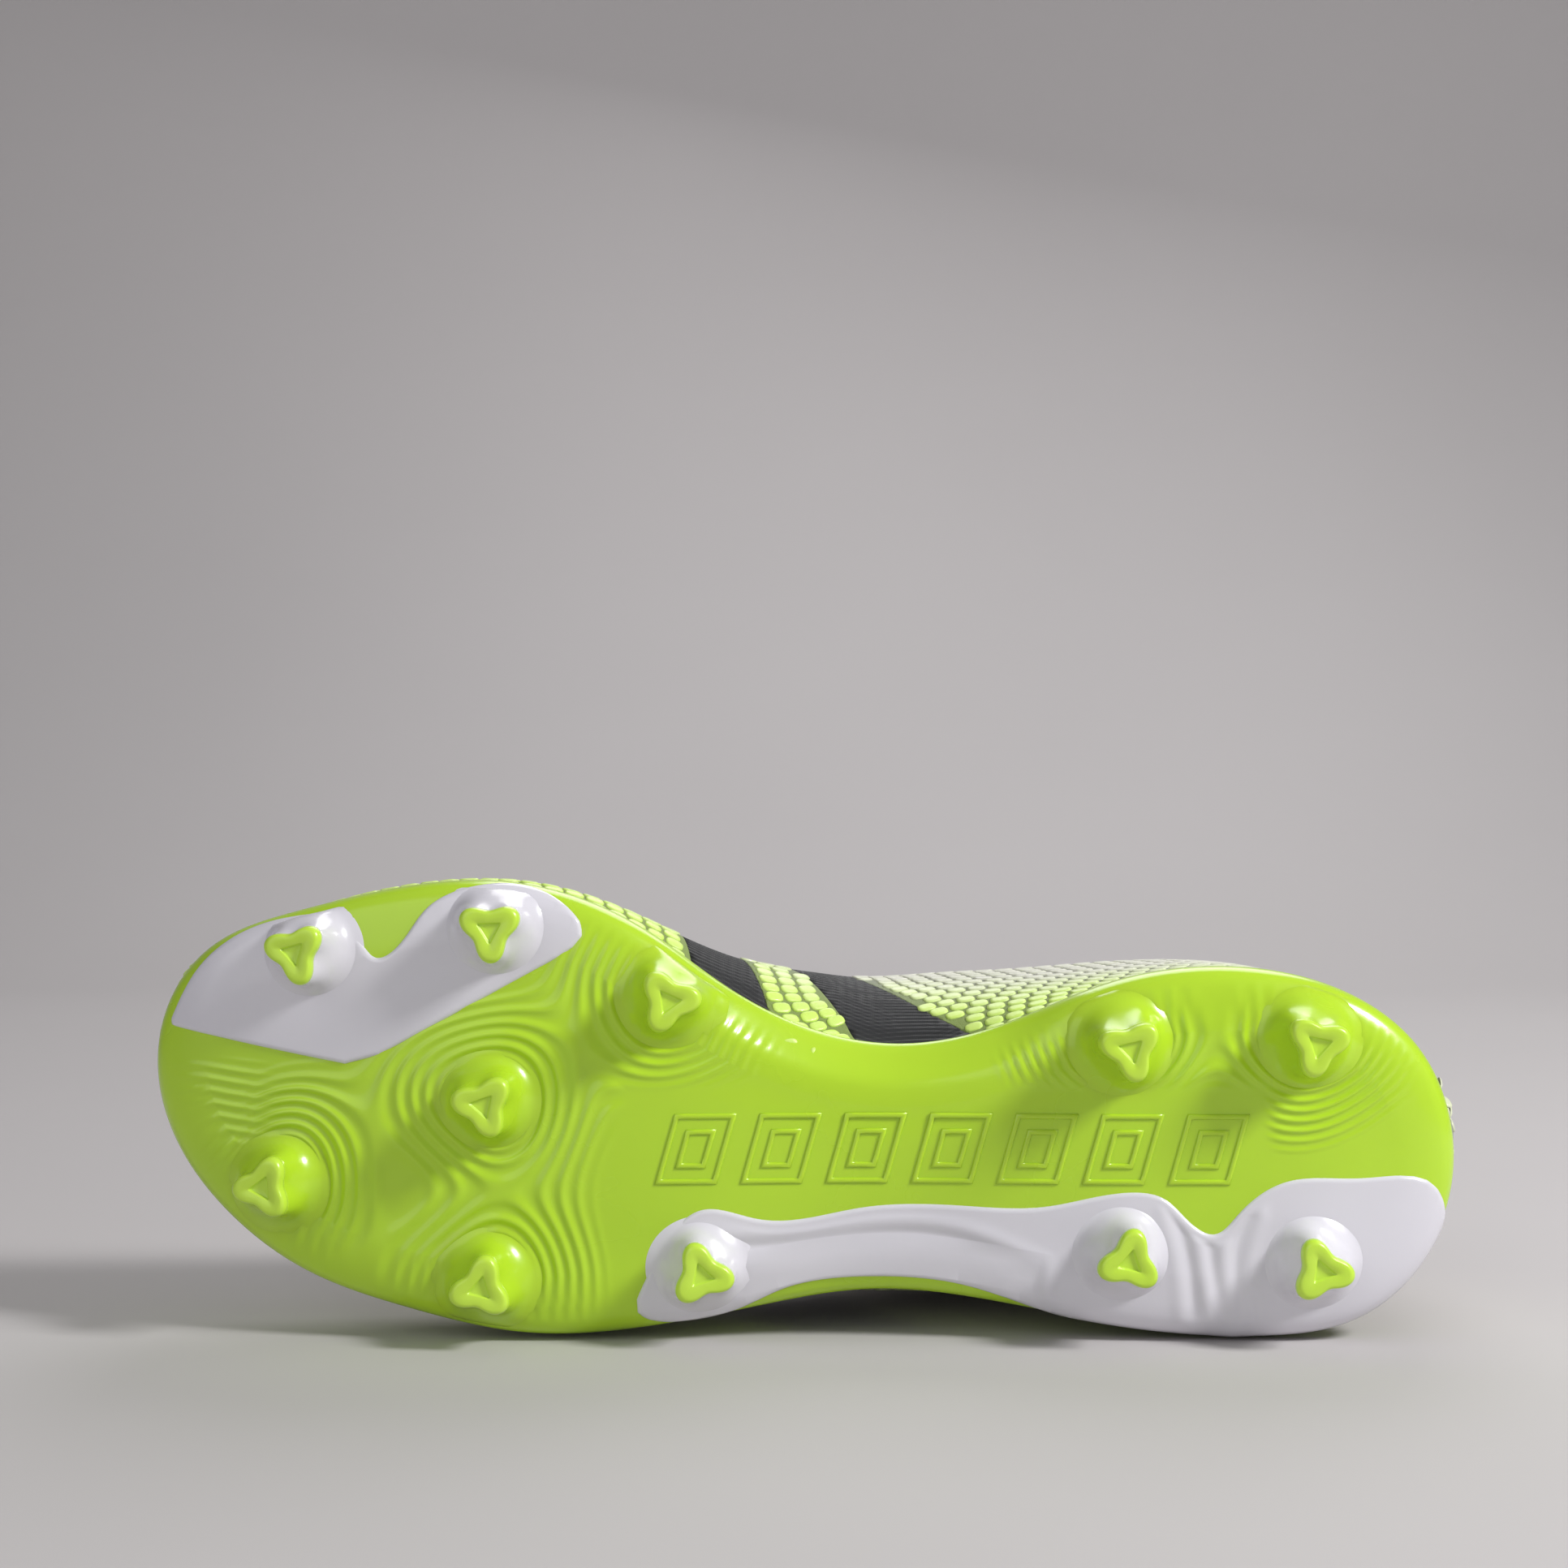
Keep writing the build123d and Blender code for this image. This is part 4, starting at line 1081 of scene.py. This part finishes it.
def add_scales(pile, grid, fields):
    """Raised rounded scales on the part of the upper where every field leaves room for one."""
    spots = list(scale_spots(grid))
    centres = np.array([s[0] for s in spots])
    room = np.min([field(np.hstack([centres, centres])) for field in fields], axis=0)
    middle = grid.outer.mean(1)
    middle = middle[np.argsort(middle[:, 0])]
    outline_x, outline_z = scale_outline()
    top = (len(SCALE_LEVELS) - 1) * CORNER_POINTS
    faces = grid_quads(len(SCALE_LEVELS), CORNER_POINTS, wrap=True).tolist()
    faces.append(list(range(top, top + CORNER_POINTS)))
    jitter = rng.uniform(-1, 1, (len(spots), 3))
    placed = np.full((len(spots), 3), 1e6)
    for k, ((centre, ahead, back), gap, shake) in enumerate(zip(spots, room, jitter)):
        crowded = np.linalg.norm(placed[:k] - centre, axis=1).min(initial=1e6) < SCALE_APART
        if gap < SCALE_ROOM or crowded:
            continue
        placed[k] = centre
        normal = np.cross(ahead, back)
        normal /= np.linalg.norm(normal)
        core = interpolate(np.clip(centre[0], -CORE_X, CORE_X), middle[:, 0], middle)
        normal *= 1.0 if normal @ (centre - core) > 0 else -1.0
        across = np.cross(normal, ahead)
        long, wide = 1 + 0.05 * shake[0], 1 + 0.04 * shake[1]
        rings = []
        for share, rise in SCALE_LEVELS:
            ring = np.outer(outline_x * share * long, ahead) + np.outer(outline_z * share * wide, across)
            rings.append(centre + ring + normal * rise)
        lime = float(scale_lime(*centre[:2])) + 0.06 * shake[2]
        pile.add(np.vstack(rings), faces, 1, min(max(lime, 0.0), 1.0))


# --- upper pieces -------------------------------------------------------------------------------
def roomy_off_plate(t):
    """off_plate, less the room that scales need more there than at other edges."""
    return off_plate(t) - PLATE_ROOM + SCALE_ROOM


def scaled_piece(name, node, grid, mats, slot_name, *fields):
    """A skin of the upper: its textile ground and the scales on it."""
    pile = Pile()
    table, tris = keep(grid.table, grid.tris, off_plate, *fields)
    shell(pile, table, tris, scale_lime(table[:, 0], table[:, 1]))
    add_scales(pile, grid, (roomy_off_plate, *fields))
    finish_piece(pile.build(name, [mats["scale_base"], mats["scale_tiles"]]), slot_name, "shoe", node)


def shell_piece(name, node, grid, material_, slot_name, *fields):
    """A plain layer of the upper, cut to its fields."""
    pile = Pile()
    shell(pile, *keep(grid.table, grid.tris, *fields))
    obj = pile.build(name, [material_])
    finish_piece(obj, slot_name, "shoe", node)
    return obj


ALL_ROUND = (0.0, float(AROUND))
RIBBED_ROUND = (0.6, 9.4)        # the knit's ribs leave out the middle of the sole
RIB_COLUMNS, RIB_STEP = 1150, 2.2
SKIN_STEP, LAYER_STEP = 0.9, 1.6    # distance between a grid's rows
RIB_PITCH = 1.3
RIB_H = 0.2


def level(depth):
    """The same depth everywhere."""
    return lambda x: depth


def rib_grid():
    """A grid that is fine enough across the boot for its lengthwise knit ribs."""
    v = np.linspace(*RIBBED_ROUND, RIB_COLUMNS)
    grid = Upper(v, RIB_STEP, level(0.0), level(SKIN_T))
    points = grid.outer
    normal = grid_normals(points)
    ridge = int(np.argmin(np.abs(v - TOP_ANCHOR)))
    run = np.cumsum(np.linalg.norm(np.diff(points, axis=1, prepend=points[:, :1]), axis=2), axis=1)
    run = run - run[:, ridge : ridge + 1]
    core = points.mean(1, keepdims=True)
    flip = np.sign(((points - core) * normal).sum(2, keepdims=True))
    lift = RIB_H * wave_crest(2 * pi * run / RIB_PITCH, 0.7)
    grid.table[:, :3] = (points + normal * flip * (lift[:, :, None] - RIB_H)).reshape(-1, 3)
    return grid


def make_knit(mats):
    """The black knit: the saddle over the instep and the collar's cuff."""
    grid = rib_grid()
    for name, node, fields in (
        ("knit_saddle", "midfoot_knit", (in_knit, negative(in_wedge), below(CUFF_LINE))),
        ("knit_collar", "collar_cuff", (negative(below(CUFF_LINE)), below(TOPLINE, BINDING_H))),
    ):
        shell_piece(name, node, grid, mats["black_knit"], "black_knit", off_plate, *fields)


TRIM_POINTS = 420
TRIM_SKIRT = 1.6                 # how far the trim reaches down either face of the collar


def collar_line(grid):
    """The collar's edge on the outer face and on the lining, as two lines of points at the same heights."""
    inner = upper_grid(grid.v, lining_inside, grid.step)
    table = np.hstack([grid.table[:, :3], inner.reshape(-1, 3)])
    loop = level_loop(table, grid.tris, table[:, 1] - line_height(TOPLINE, table[:, 0]) + BINDING_H)
    run = lengths(loop[:, :3])
    loop = interpolate(np.linspace(0, run[-1], TRIM_POINTS), run, loop)
    for _ in range(4):
        loop[1:-1] = (loop[:-2] + 2 * loop[1:-1] + loop[2:]) / 4
    return loop[:, :3], loop[:, [3, 1, 5]]


def make_binding(grid, mats):
    """The rolled trim on the collar's edge, from the outer face over to the lining."""
    outer, inner = collar_line(grid)
    middle, half = (outer + inner) / 2, (outer - inner) / 2
    half *= ((np.linalg.norm(half, axis=1) + 0.25) / np.linalg.norm(half, axis=1))[:, None]
    up = np.array([0, 1.0, 0])
    rows = [middle + half * 0.98 - up * TRIM_SKIRT]
    for turn in np.linspace(0, pi, 15):
        rows.append(middle + half * cos(turn) * 1.02 + up * (sin(turn) ** 0.75 * BINDING_H))
    rows.append(middle - half * 0.98 - up * TRIM_SKIRT)
    rows.append(rows[0])
    pile = Pile()
    pile.add(np.array(rows), grid_quads(len(rows), TRIM_POINTS))
    for k in range(4, TRIM_POINTS - 4, 3):
        centre = outer[k] + half[k] / np.linalg.norm(half[k]) * 0.12 - up * 0.6
        add_stitch(pile, centre, outer[k + 1] - outer[k])
    obj = pile.build("collar_trim", [mats["black_binding"], mats["thread"]])
    finish_piece(obj, "black_binding", "shoe", "collar_binding")


STITCH, THREAD_R = 1.5, 0.2


def add_stitch(pile, centre, direction):
    """A short thread lying along direction, in the piece's second material."""
    direction = direction / np.linalg.norm(direction)
    across = np.cross(direction, [0.3, 0.9, 0.31])
    across /= np.linalg.norm(across)
    other = np.cross(direction, across)
    turn = np.linspace(0, 2 * pi, 6, endpoint=False)
    rings = []
    for share, round_ in ((-0.5, 0.45), (-0.35, 1.0), (0, 1.0), (0.35, 1.0), (0.5, 0.45)):
        r = THREAD_R * round_
        ring = np.outer(np.cos(turn) * r, across) + np.outer(np.sin(turn) * r, other)
        rings.append(centre + direction * share * STITCH + ring)
    pile.add(np.vstack(rings), grid_quads(5, 6, wrap=True), 1)


LINING_TUCKS = (2.2, 3.1)        # how far inside the sole's edge its two faces are drawn
LINING_SPLIT_X = 10.0            # the lining's front and rear halves meet here


def make_linings(mats):
    """The textile lining, in a front and a rear half."""
    grid = Upper(np.linspace(*ALL_ROUND, 220), LAYER_STEP, lining_depth, lining_inside, LINING_TUCKS)
    for name, node, way in (("lining_front", "vamp_lining", -1), ("lining_rear", "quarter_lining", 1)):
        fields = (below(TOPLINE, BINDING_H), lambda t: way * (t[:, 0] - LINING_SPLIT_X), lining_floor)
        shell_piece(name, node, grid, mats["lining_textile"], "lining_textile", *fields)


def make_upper(mats):
    """Everything between the plate and the collar's edge."""
    grid = Upper(np.linspace(*ALL_ROUND, 300), SKIN_STEP, level(0.0), level(SKIN_T))
    rear = (behind_knit, below(CUFF_LINE))
    for name, node, slot_name, fields in (
        ("toe_skin", "forefoot_skin", "lime_scale_skin", (ahead_of_knit, below(TOPLINE, BINDING_H))),
        ("wedge_skin", "medial_scale_wedge", "lime_scale_skin", (in_wedge,)),
        ("quarter_medial", "medial_quarter_skin", "white_scale_skin", (*rear, medial)),
        ("quarter_lateral", "lateral_quarter_skin", "white_scale_skin", (*rear, lateral)),
    ):
        scaled_piece(name, node, grid, mats, slot_name, *fields)
    make_knit(mats)
    make_binding(grid, mats)
    make_linings(mats)


# --- inside the boot and behind it --------------------------------------------------------------
BOARD_TOP = 2.2                  # height of the sockliner's underside above the lining's floor
FOAM_T = 3.5
COVER_T = 0.6
LINER_GAP = 1.3
FOOTBED_FROM, FOOTBED_TO = -134.0, 136.5
# The pull tab and its patch, each from foot to top as x and height.
TAB_FOOT, TAB_TOP = (141.9, 77.0), (137.9, 103.0)
TAB_T, TAB_W = 2.4, 12.0
ANCHOR_FOOT, ANCHOR_TOP = (143.4, 61.0), (142.5, 71.5)


def foot_base(x):
    """Height of the lining's floor."""
    return underside(x) + ABOVE_PLATE + lining_inside(x)


def floor_span(x, height):
    """The lining's inner width at x, height above its floor, from the sections either side."""
    spans = []
    for row in STATIONS:
        points = np.array(anchors(row, lining_depth(row[0]) + LINING_T + LINER_GAP))
        lateral_side, medial_side = points[[1, 2, 3]], points[[9, 8, 7]]
        level = foot_base(row[0]) + height
        low_z = np.interp(level, lateral_side[:, 1], lateral_side[:, 2])
        high_z = np.interp(level, medial_side[:, 1], medial_side[:, 2])
        spans.append((points[0, 0], low_z, high_z))
    spans = np.array(spans)
    return np.interp(x, spans[:, 0], spans[:, 1]), np.interp(x, spans[:, 0], spans[:, 2])


def footbed(name, node, low, high, mats, slot_name):
    """One layer of the sockliner, between two heights above the floor, with round ends and edges."""
    xs = np.linspace(FOOTBED_FROM, FOOTBED_TO, 190)
    across = np.linspace(-1, 1, 41)
    z0, z1 = floor_span(xs, (low + high) / 2)
    to_end = np.clip((np.abs(xs - (FOOTBED_FROM + FOOTBED_TO) / 2) - 118.0) / 17.3, 0, 1)
    half = (z1 - z0) / 2 * np.sqrt(np.clip(1 - to_end**2.6, 0.0004, 1))
    z = ((z0 + z1) / 2)[:, None] + half[:, None] * across
    x = np.broadcast_to(xs[:, None], z.shape)
    rounding = 0.25 * across**8
    upper = np.stack([x, (foot_base(xs) + high)[:, None] - rounding, z], 2)
    under = np.stack([x, (foot_base(xs) + low)[:, None] + rounding, z], 2)
    count, width = z.size, len(across)
    quads = grid_quads(len(xs), width)
    rim = list(range(width)) + [i * width + width - 1 for i in range(1, len(xs))]
    rim += [count - 1 - k for k in range(1, width)] + [i * width for i in range(len(xs) - 2, 0, -1)]
    faces = quads.tolist() + (quads[:, ::-1] + count).tolist()
    faces += [[b, a, a + count, b + count] for a, b in zip(rim, rim[1:] + rim[:1])]
    pile = Pile()
    pile.add(np.vstack([upper.reshape(-1, 3), under.reshape(-1, 3)]), faces)
    obj = pile.build(name, [mats[slot_name]])
    finish_piece(obj, slot_name, "sockliner", node)
    return obj


RIBS = 7                         # lengthwise ribs of the webbing
STITCH_STEP = 2.2
STITCH_IN = 1.4                  # how far the tab's stitches keep from its edges


def strip_rings(foot, along, run, width):
    """Cross-sections of a ribbed strip with rounded edges and ends."""
    out, half_t = np.array([along[1], -along[0]]), TAB_T / 2 - 0.1
    turn = np.linspace(0, 2 * pi, 72, endpoint=False)
    wide_share = (np.abs(np.cos(turn)) ** 0.35) * np.sign(np.cos(turn))
    thick_share = (np.abs(np.sin(turn)) ** 0.6) * np.sign(np.sin(turn))
    for at in np.linspace(-TAB_T / 2, run + TAB_T / 2, 90):
        end = min(at + TAB_T / 2, run + TAB_T / 2 - at)
        round_ = np.sqrt(max(1 - (1 - min(end / (TAB_T * 0.5), 1)) ** 2, 0.02))
        wide = wide_share * (width / 2 - 0.15 + 0.15 * round_)
        thick = thick_share * half_t * round_
        thick = thick * (1 - 0.07 * wave_crest(wide * 2 * pi * RIBS / width, 1))
        centre = foot + along * at
        yield np.stack([centre[0] + out[0] * thick, centre[1] + out[1] * thick, SEAM_Z + wide], 1)


def strip_piece(name, node, foot, top, width, mats, body):
    """A strip of ribbed webbing from foot to top with a row of stitches round it."""
    foot, top = np.array(foot, float), np.array(top, float)
    run = np.linalg.norm(top - foot)
    along = (top - foot) / run
    rings = np.array(list(strip_rings(foot, along, run, width)))
    count = rings.shape[1]
    last = (len(rings) - 1) * count
    faces = grid_quads(len(rings), count, wrap=True).tolist()
    faces += [list(range(count - 1, -1, -1)), list(range(last, last + count))]
    pile = Pile()
    pile.add(rings, faces)
    face = foot + np.array([along[1], -along[0]]) * (TAB_T / 2 - 0.08)
    lengthwise, crosswise = np.array([*along, 0.0]), np.array([0.0, 0.0, 1.0])
    for edge in (-1, 1):
        for at in np.arange(1.2, run - 0.6, STITCH_STEP):
            spot = face + along * at
            add_stitch(pile, np.array([*spot, SEAM_Z + edge * (width / 2 - STITCH_IN)]), lengthwise)
    for at in (1.0, run - 1.0):
        for z in np.arange(-width / 2 + 2.6, width / 2 - 2.0, STITCH_STEP):
            spot = face + along * at
            add_stitch(pile, np.array([*spot, SEAM_Z + z]), crosswise)
    finish_piece(pile.build(name, [mats["webbing"], mats["thread"]]), "webbing", body, node)


# Side-view outlines of the ankle pads and of the heel counter.
FOAM_REGION = np.array([(46, 120), (46, 56), (72, 50), (102, 56), (126, 66), (126, 120)], float)
COUNTER_REGION = np.array([(74, 0), (86, 34), (104, 50), (150, 52), (150, 0)], float)
TOE_PUFF_TO = -108.0
PAD_FROM_H = 16.5                # the stiffeners start above where the upper is tucked in


def pad_depth(x):
    """Depth of the pads' inner face, just short of the lining."""
    return np.maximum(lining_depth(x) - LAYER_GAP, SKIN_T + 2 * LAYER_GAP)


def above_tuck(t):
    """Positive above the part of the upper that is tucked in."""
    return height_above_sole(t) - PAD_FROM_H


def within(region):
    """The field that is positive inside a closed side-view outline."""
    return lambda t: signed_distance(t[:, :2], region)


def make_layers_between(mats):
    """Ankle pads, toe puff and heel counter: what lies between the skin and the lining."""
    grid = Upper(np.linspace(*ALL_ROUND, 200), LAYER_STEP, level(SKIN_T + LAYER_GAP), pad_depth)
    foam = (within(FOAM_REGION), below(TOPLINE, BINDING_H + 1.0))
    for name, node, slot_name, fields in (
        ("ankle_pad_medial", "medial_ankle_foam", "soft_foam", (*foam, lambda t: medial(t) - LAYER_GAP)),
        ("ankle_pad_lateral", "lateral_ankle_foam", "soft_foam", (*foam, lambda t: lateral(t) - LAYER_GAP)),
        ("heel_stiffener", "heel_counter", "stiffener", (within(COUNTER_REGION), above_tuck)),
        ("toe_stiffener", "toe_puff", "stiffener", (lambda t: TOE_PUFF_TO - t[:, 0], above_tuck)),
    ):
        obj = shell_piece(name, node, grid, mats[slot_name], slot_name, *fields)


def make_inside(mats):
    """The sockliner, the heel's tab and patch, the hidden layers and the board's material."""
    foam_high = BOARD_TOP + FOAM_T
    foam = footbed("footbed_foam", "sockliner_foam", BOARD_TOP, foam_high, mats, "eva_foam")
    footbed("footbed_cover", "sockliner_cover", foam_high, foam_high + COVER_T, mats, "sockliner_textile")
    strip_piece("heel_loop", "heel_pull_tab", TAB_FOOT, TAB_TOP, TAB_W, mats, "pull_tab")
    strip_piece("heel_patch", "heel_tab_anchor", ANCHOR_FOOT, ANCHOR_TOP, TAB_W + 4, mats, "shoe")
    make_layers_between(mats)
    board = frame["nodes"]["lasting_board"].data
    board.materials.clear()
    board.materials.append(mats["board"])


# --- stage --------------------------------------------------------------------------------------
# Metres.
FLOOR_X, FLOOR_FRONT, WALL_FROM, WALL_R, WALL_TOP = 40.0, -40.0, 0.9, 0.6, 9.0
LIGHTS = (
    # name, place, size, watts
    ("key", (1.0, -0.52, 0.85), 0.3, 17.0),
    ("fill", (-0.9, -1.3, 0.7), 1.4, 5.5),
    ("rim", (0.2, 1.0, 1.1), 0.9, 7.0),
)
LIT_POINT = (0, 0, 0.04)
SKY, SKY_STRENGTH = (0.86, 0.87, 0.9, 1), 0.32
CAMERA_SIDE, CAMERA_BACK, CAMERA_Z = -0.004, -0.55, 0.120
LENS = 59.0


def make_floor():
    """A pale floor that curves up into a backdrop."""
    profile = [(FLOOR_FRONT, 0.0), (WALL_FROM, 0.0)]
    for turn in np.linspace(0.1, pi / 2, 14):
        profile.append((WALL_FROM + WALL_R * sin(turn), WALL_R - WALL_R * cos(turn)))
    profile.append((WALL_FROM + WALL_R, WALL_TOP))
    verts = [(x, y, z) for x in (-FLOOR_X, FLOOR_X) for y, z in profile]
    mesh = bpy.data.meshes.new("floor")
    mesh.from_pydata(verts, [], grid_quads(2, len(profile)).tolist())
    mesh.polygons.foreach_set("use_smooth", np.ones(len(mesh.polygons), bool))
    mesh.materials.append(material("floor_paint", linear(196, 192, 192), linear(188, 184, 184), 2, 0.8))
    add_object("floor", mesh)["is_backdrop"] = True


def make_stage():
    """The floor, three soft lights, a dim sky and the camera."""
    make_floor()
    for name, place, size, power in LIGHTS:
        light = bpy.data.lights.new(name, "AREA")
        light.size, light.energy = size, power
        obj = add_object(name, light)
        obj.location = place
        obj.rotation_euler = (Vector(LIT_POINT) - Vector(place)).to_track_quat("-Z", "Y").to_euler()
        obj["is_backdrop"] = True
    world = bpy.data.worlds.new("studio")
    world.use_nodes = True
    sky = world.node_tree.nodes["Background"]
    sky.inputs["Color"].default_value = SKY
    sky.inputs["Strength"].default_value = SKY_STRENGTH
    bpy.context.scene.world = world
    camera = add_object("camera", bpy.data.cameras.new("camera"))
    camera.data.lens = LENS
    camera.location = (SHIFT[0] * MM + CAMERA_SIDE, SHIFT[1] * MM + CAMERA_BACK, CAMERA_Z)
    camera.rotation_euler = (pi / 2, 0, 0)
    bpy.context.scene.camera = camera


def save_sizes():
    """Compares the finished model's bounds with the CAD's bounds, and stops if they differ too much."""
    low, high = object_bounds()
    room = [0.03 * (b - a) + 0.010 for a, b in zip(CAD_LOW, CAD_HIGH)]
    for k in range(3):
        inside = CAD_LOW[k] - room[k] <= low[k] and high[k] <= CAD_HIGH[k] + room[k]
        assert inside, "the looks outgrow the CAD box"


all_materials = make_materials()
make_sole(all_materials)
make_upper(all_materials)
make_inside(all_materials)
make_stage()
bpy.context.scene.view_settings.view_transform = "Standard"
save_sizes()
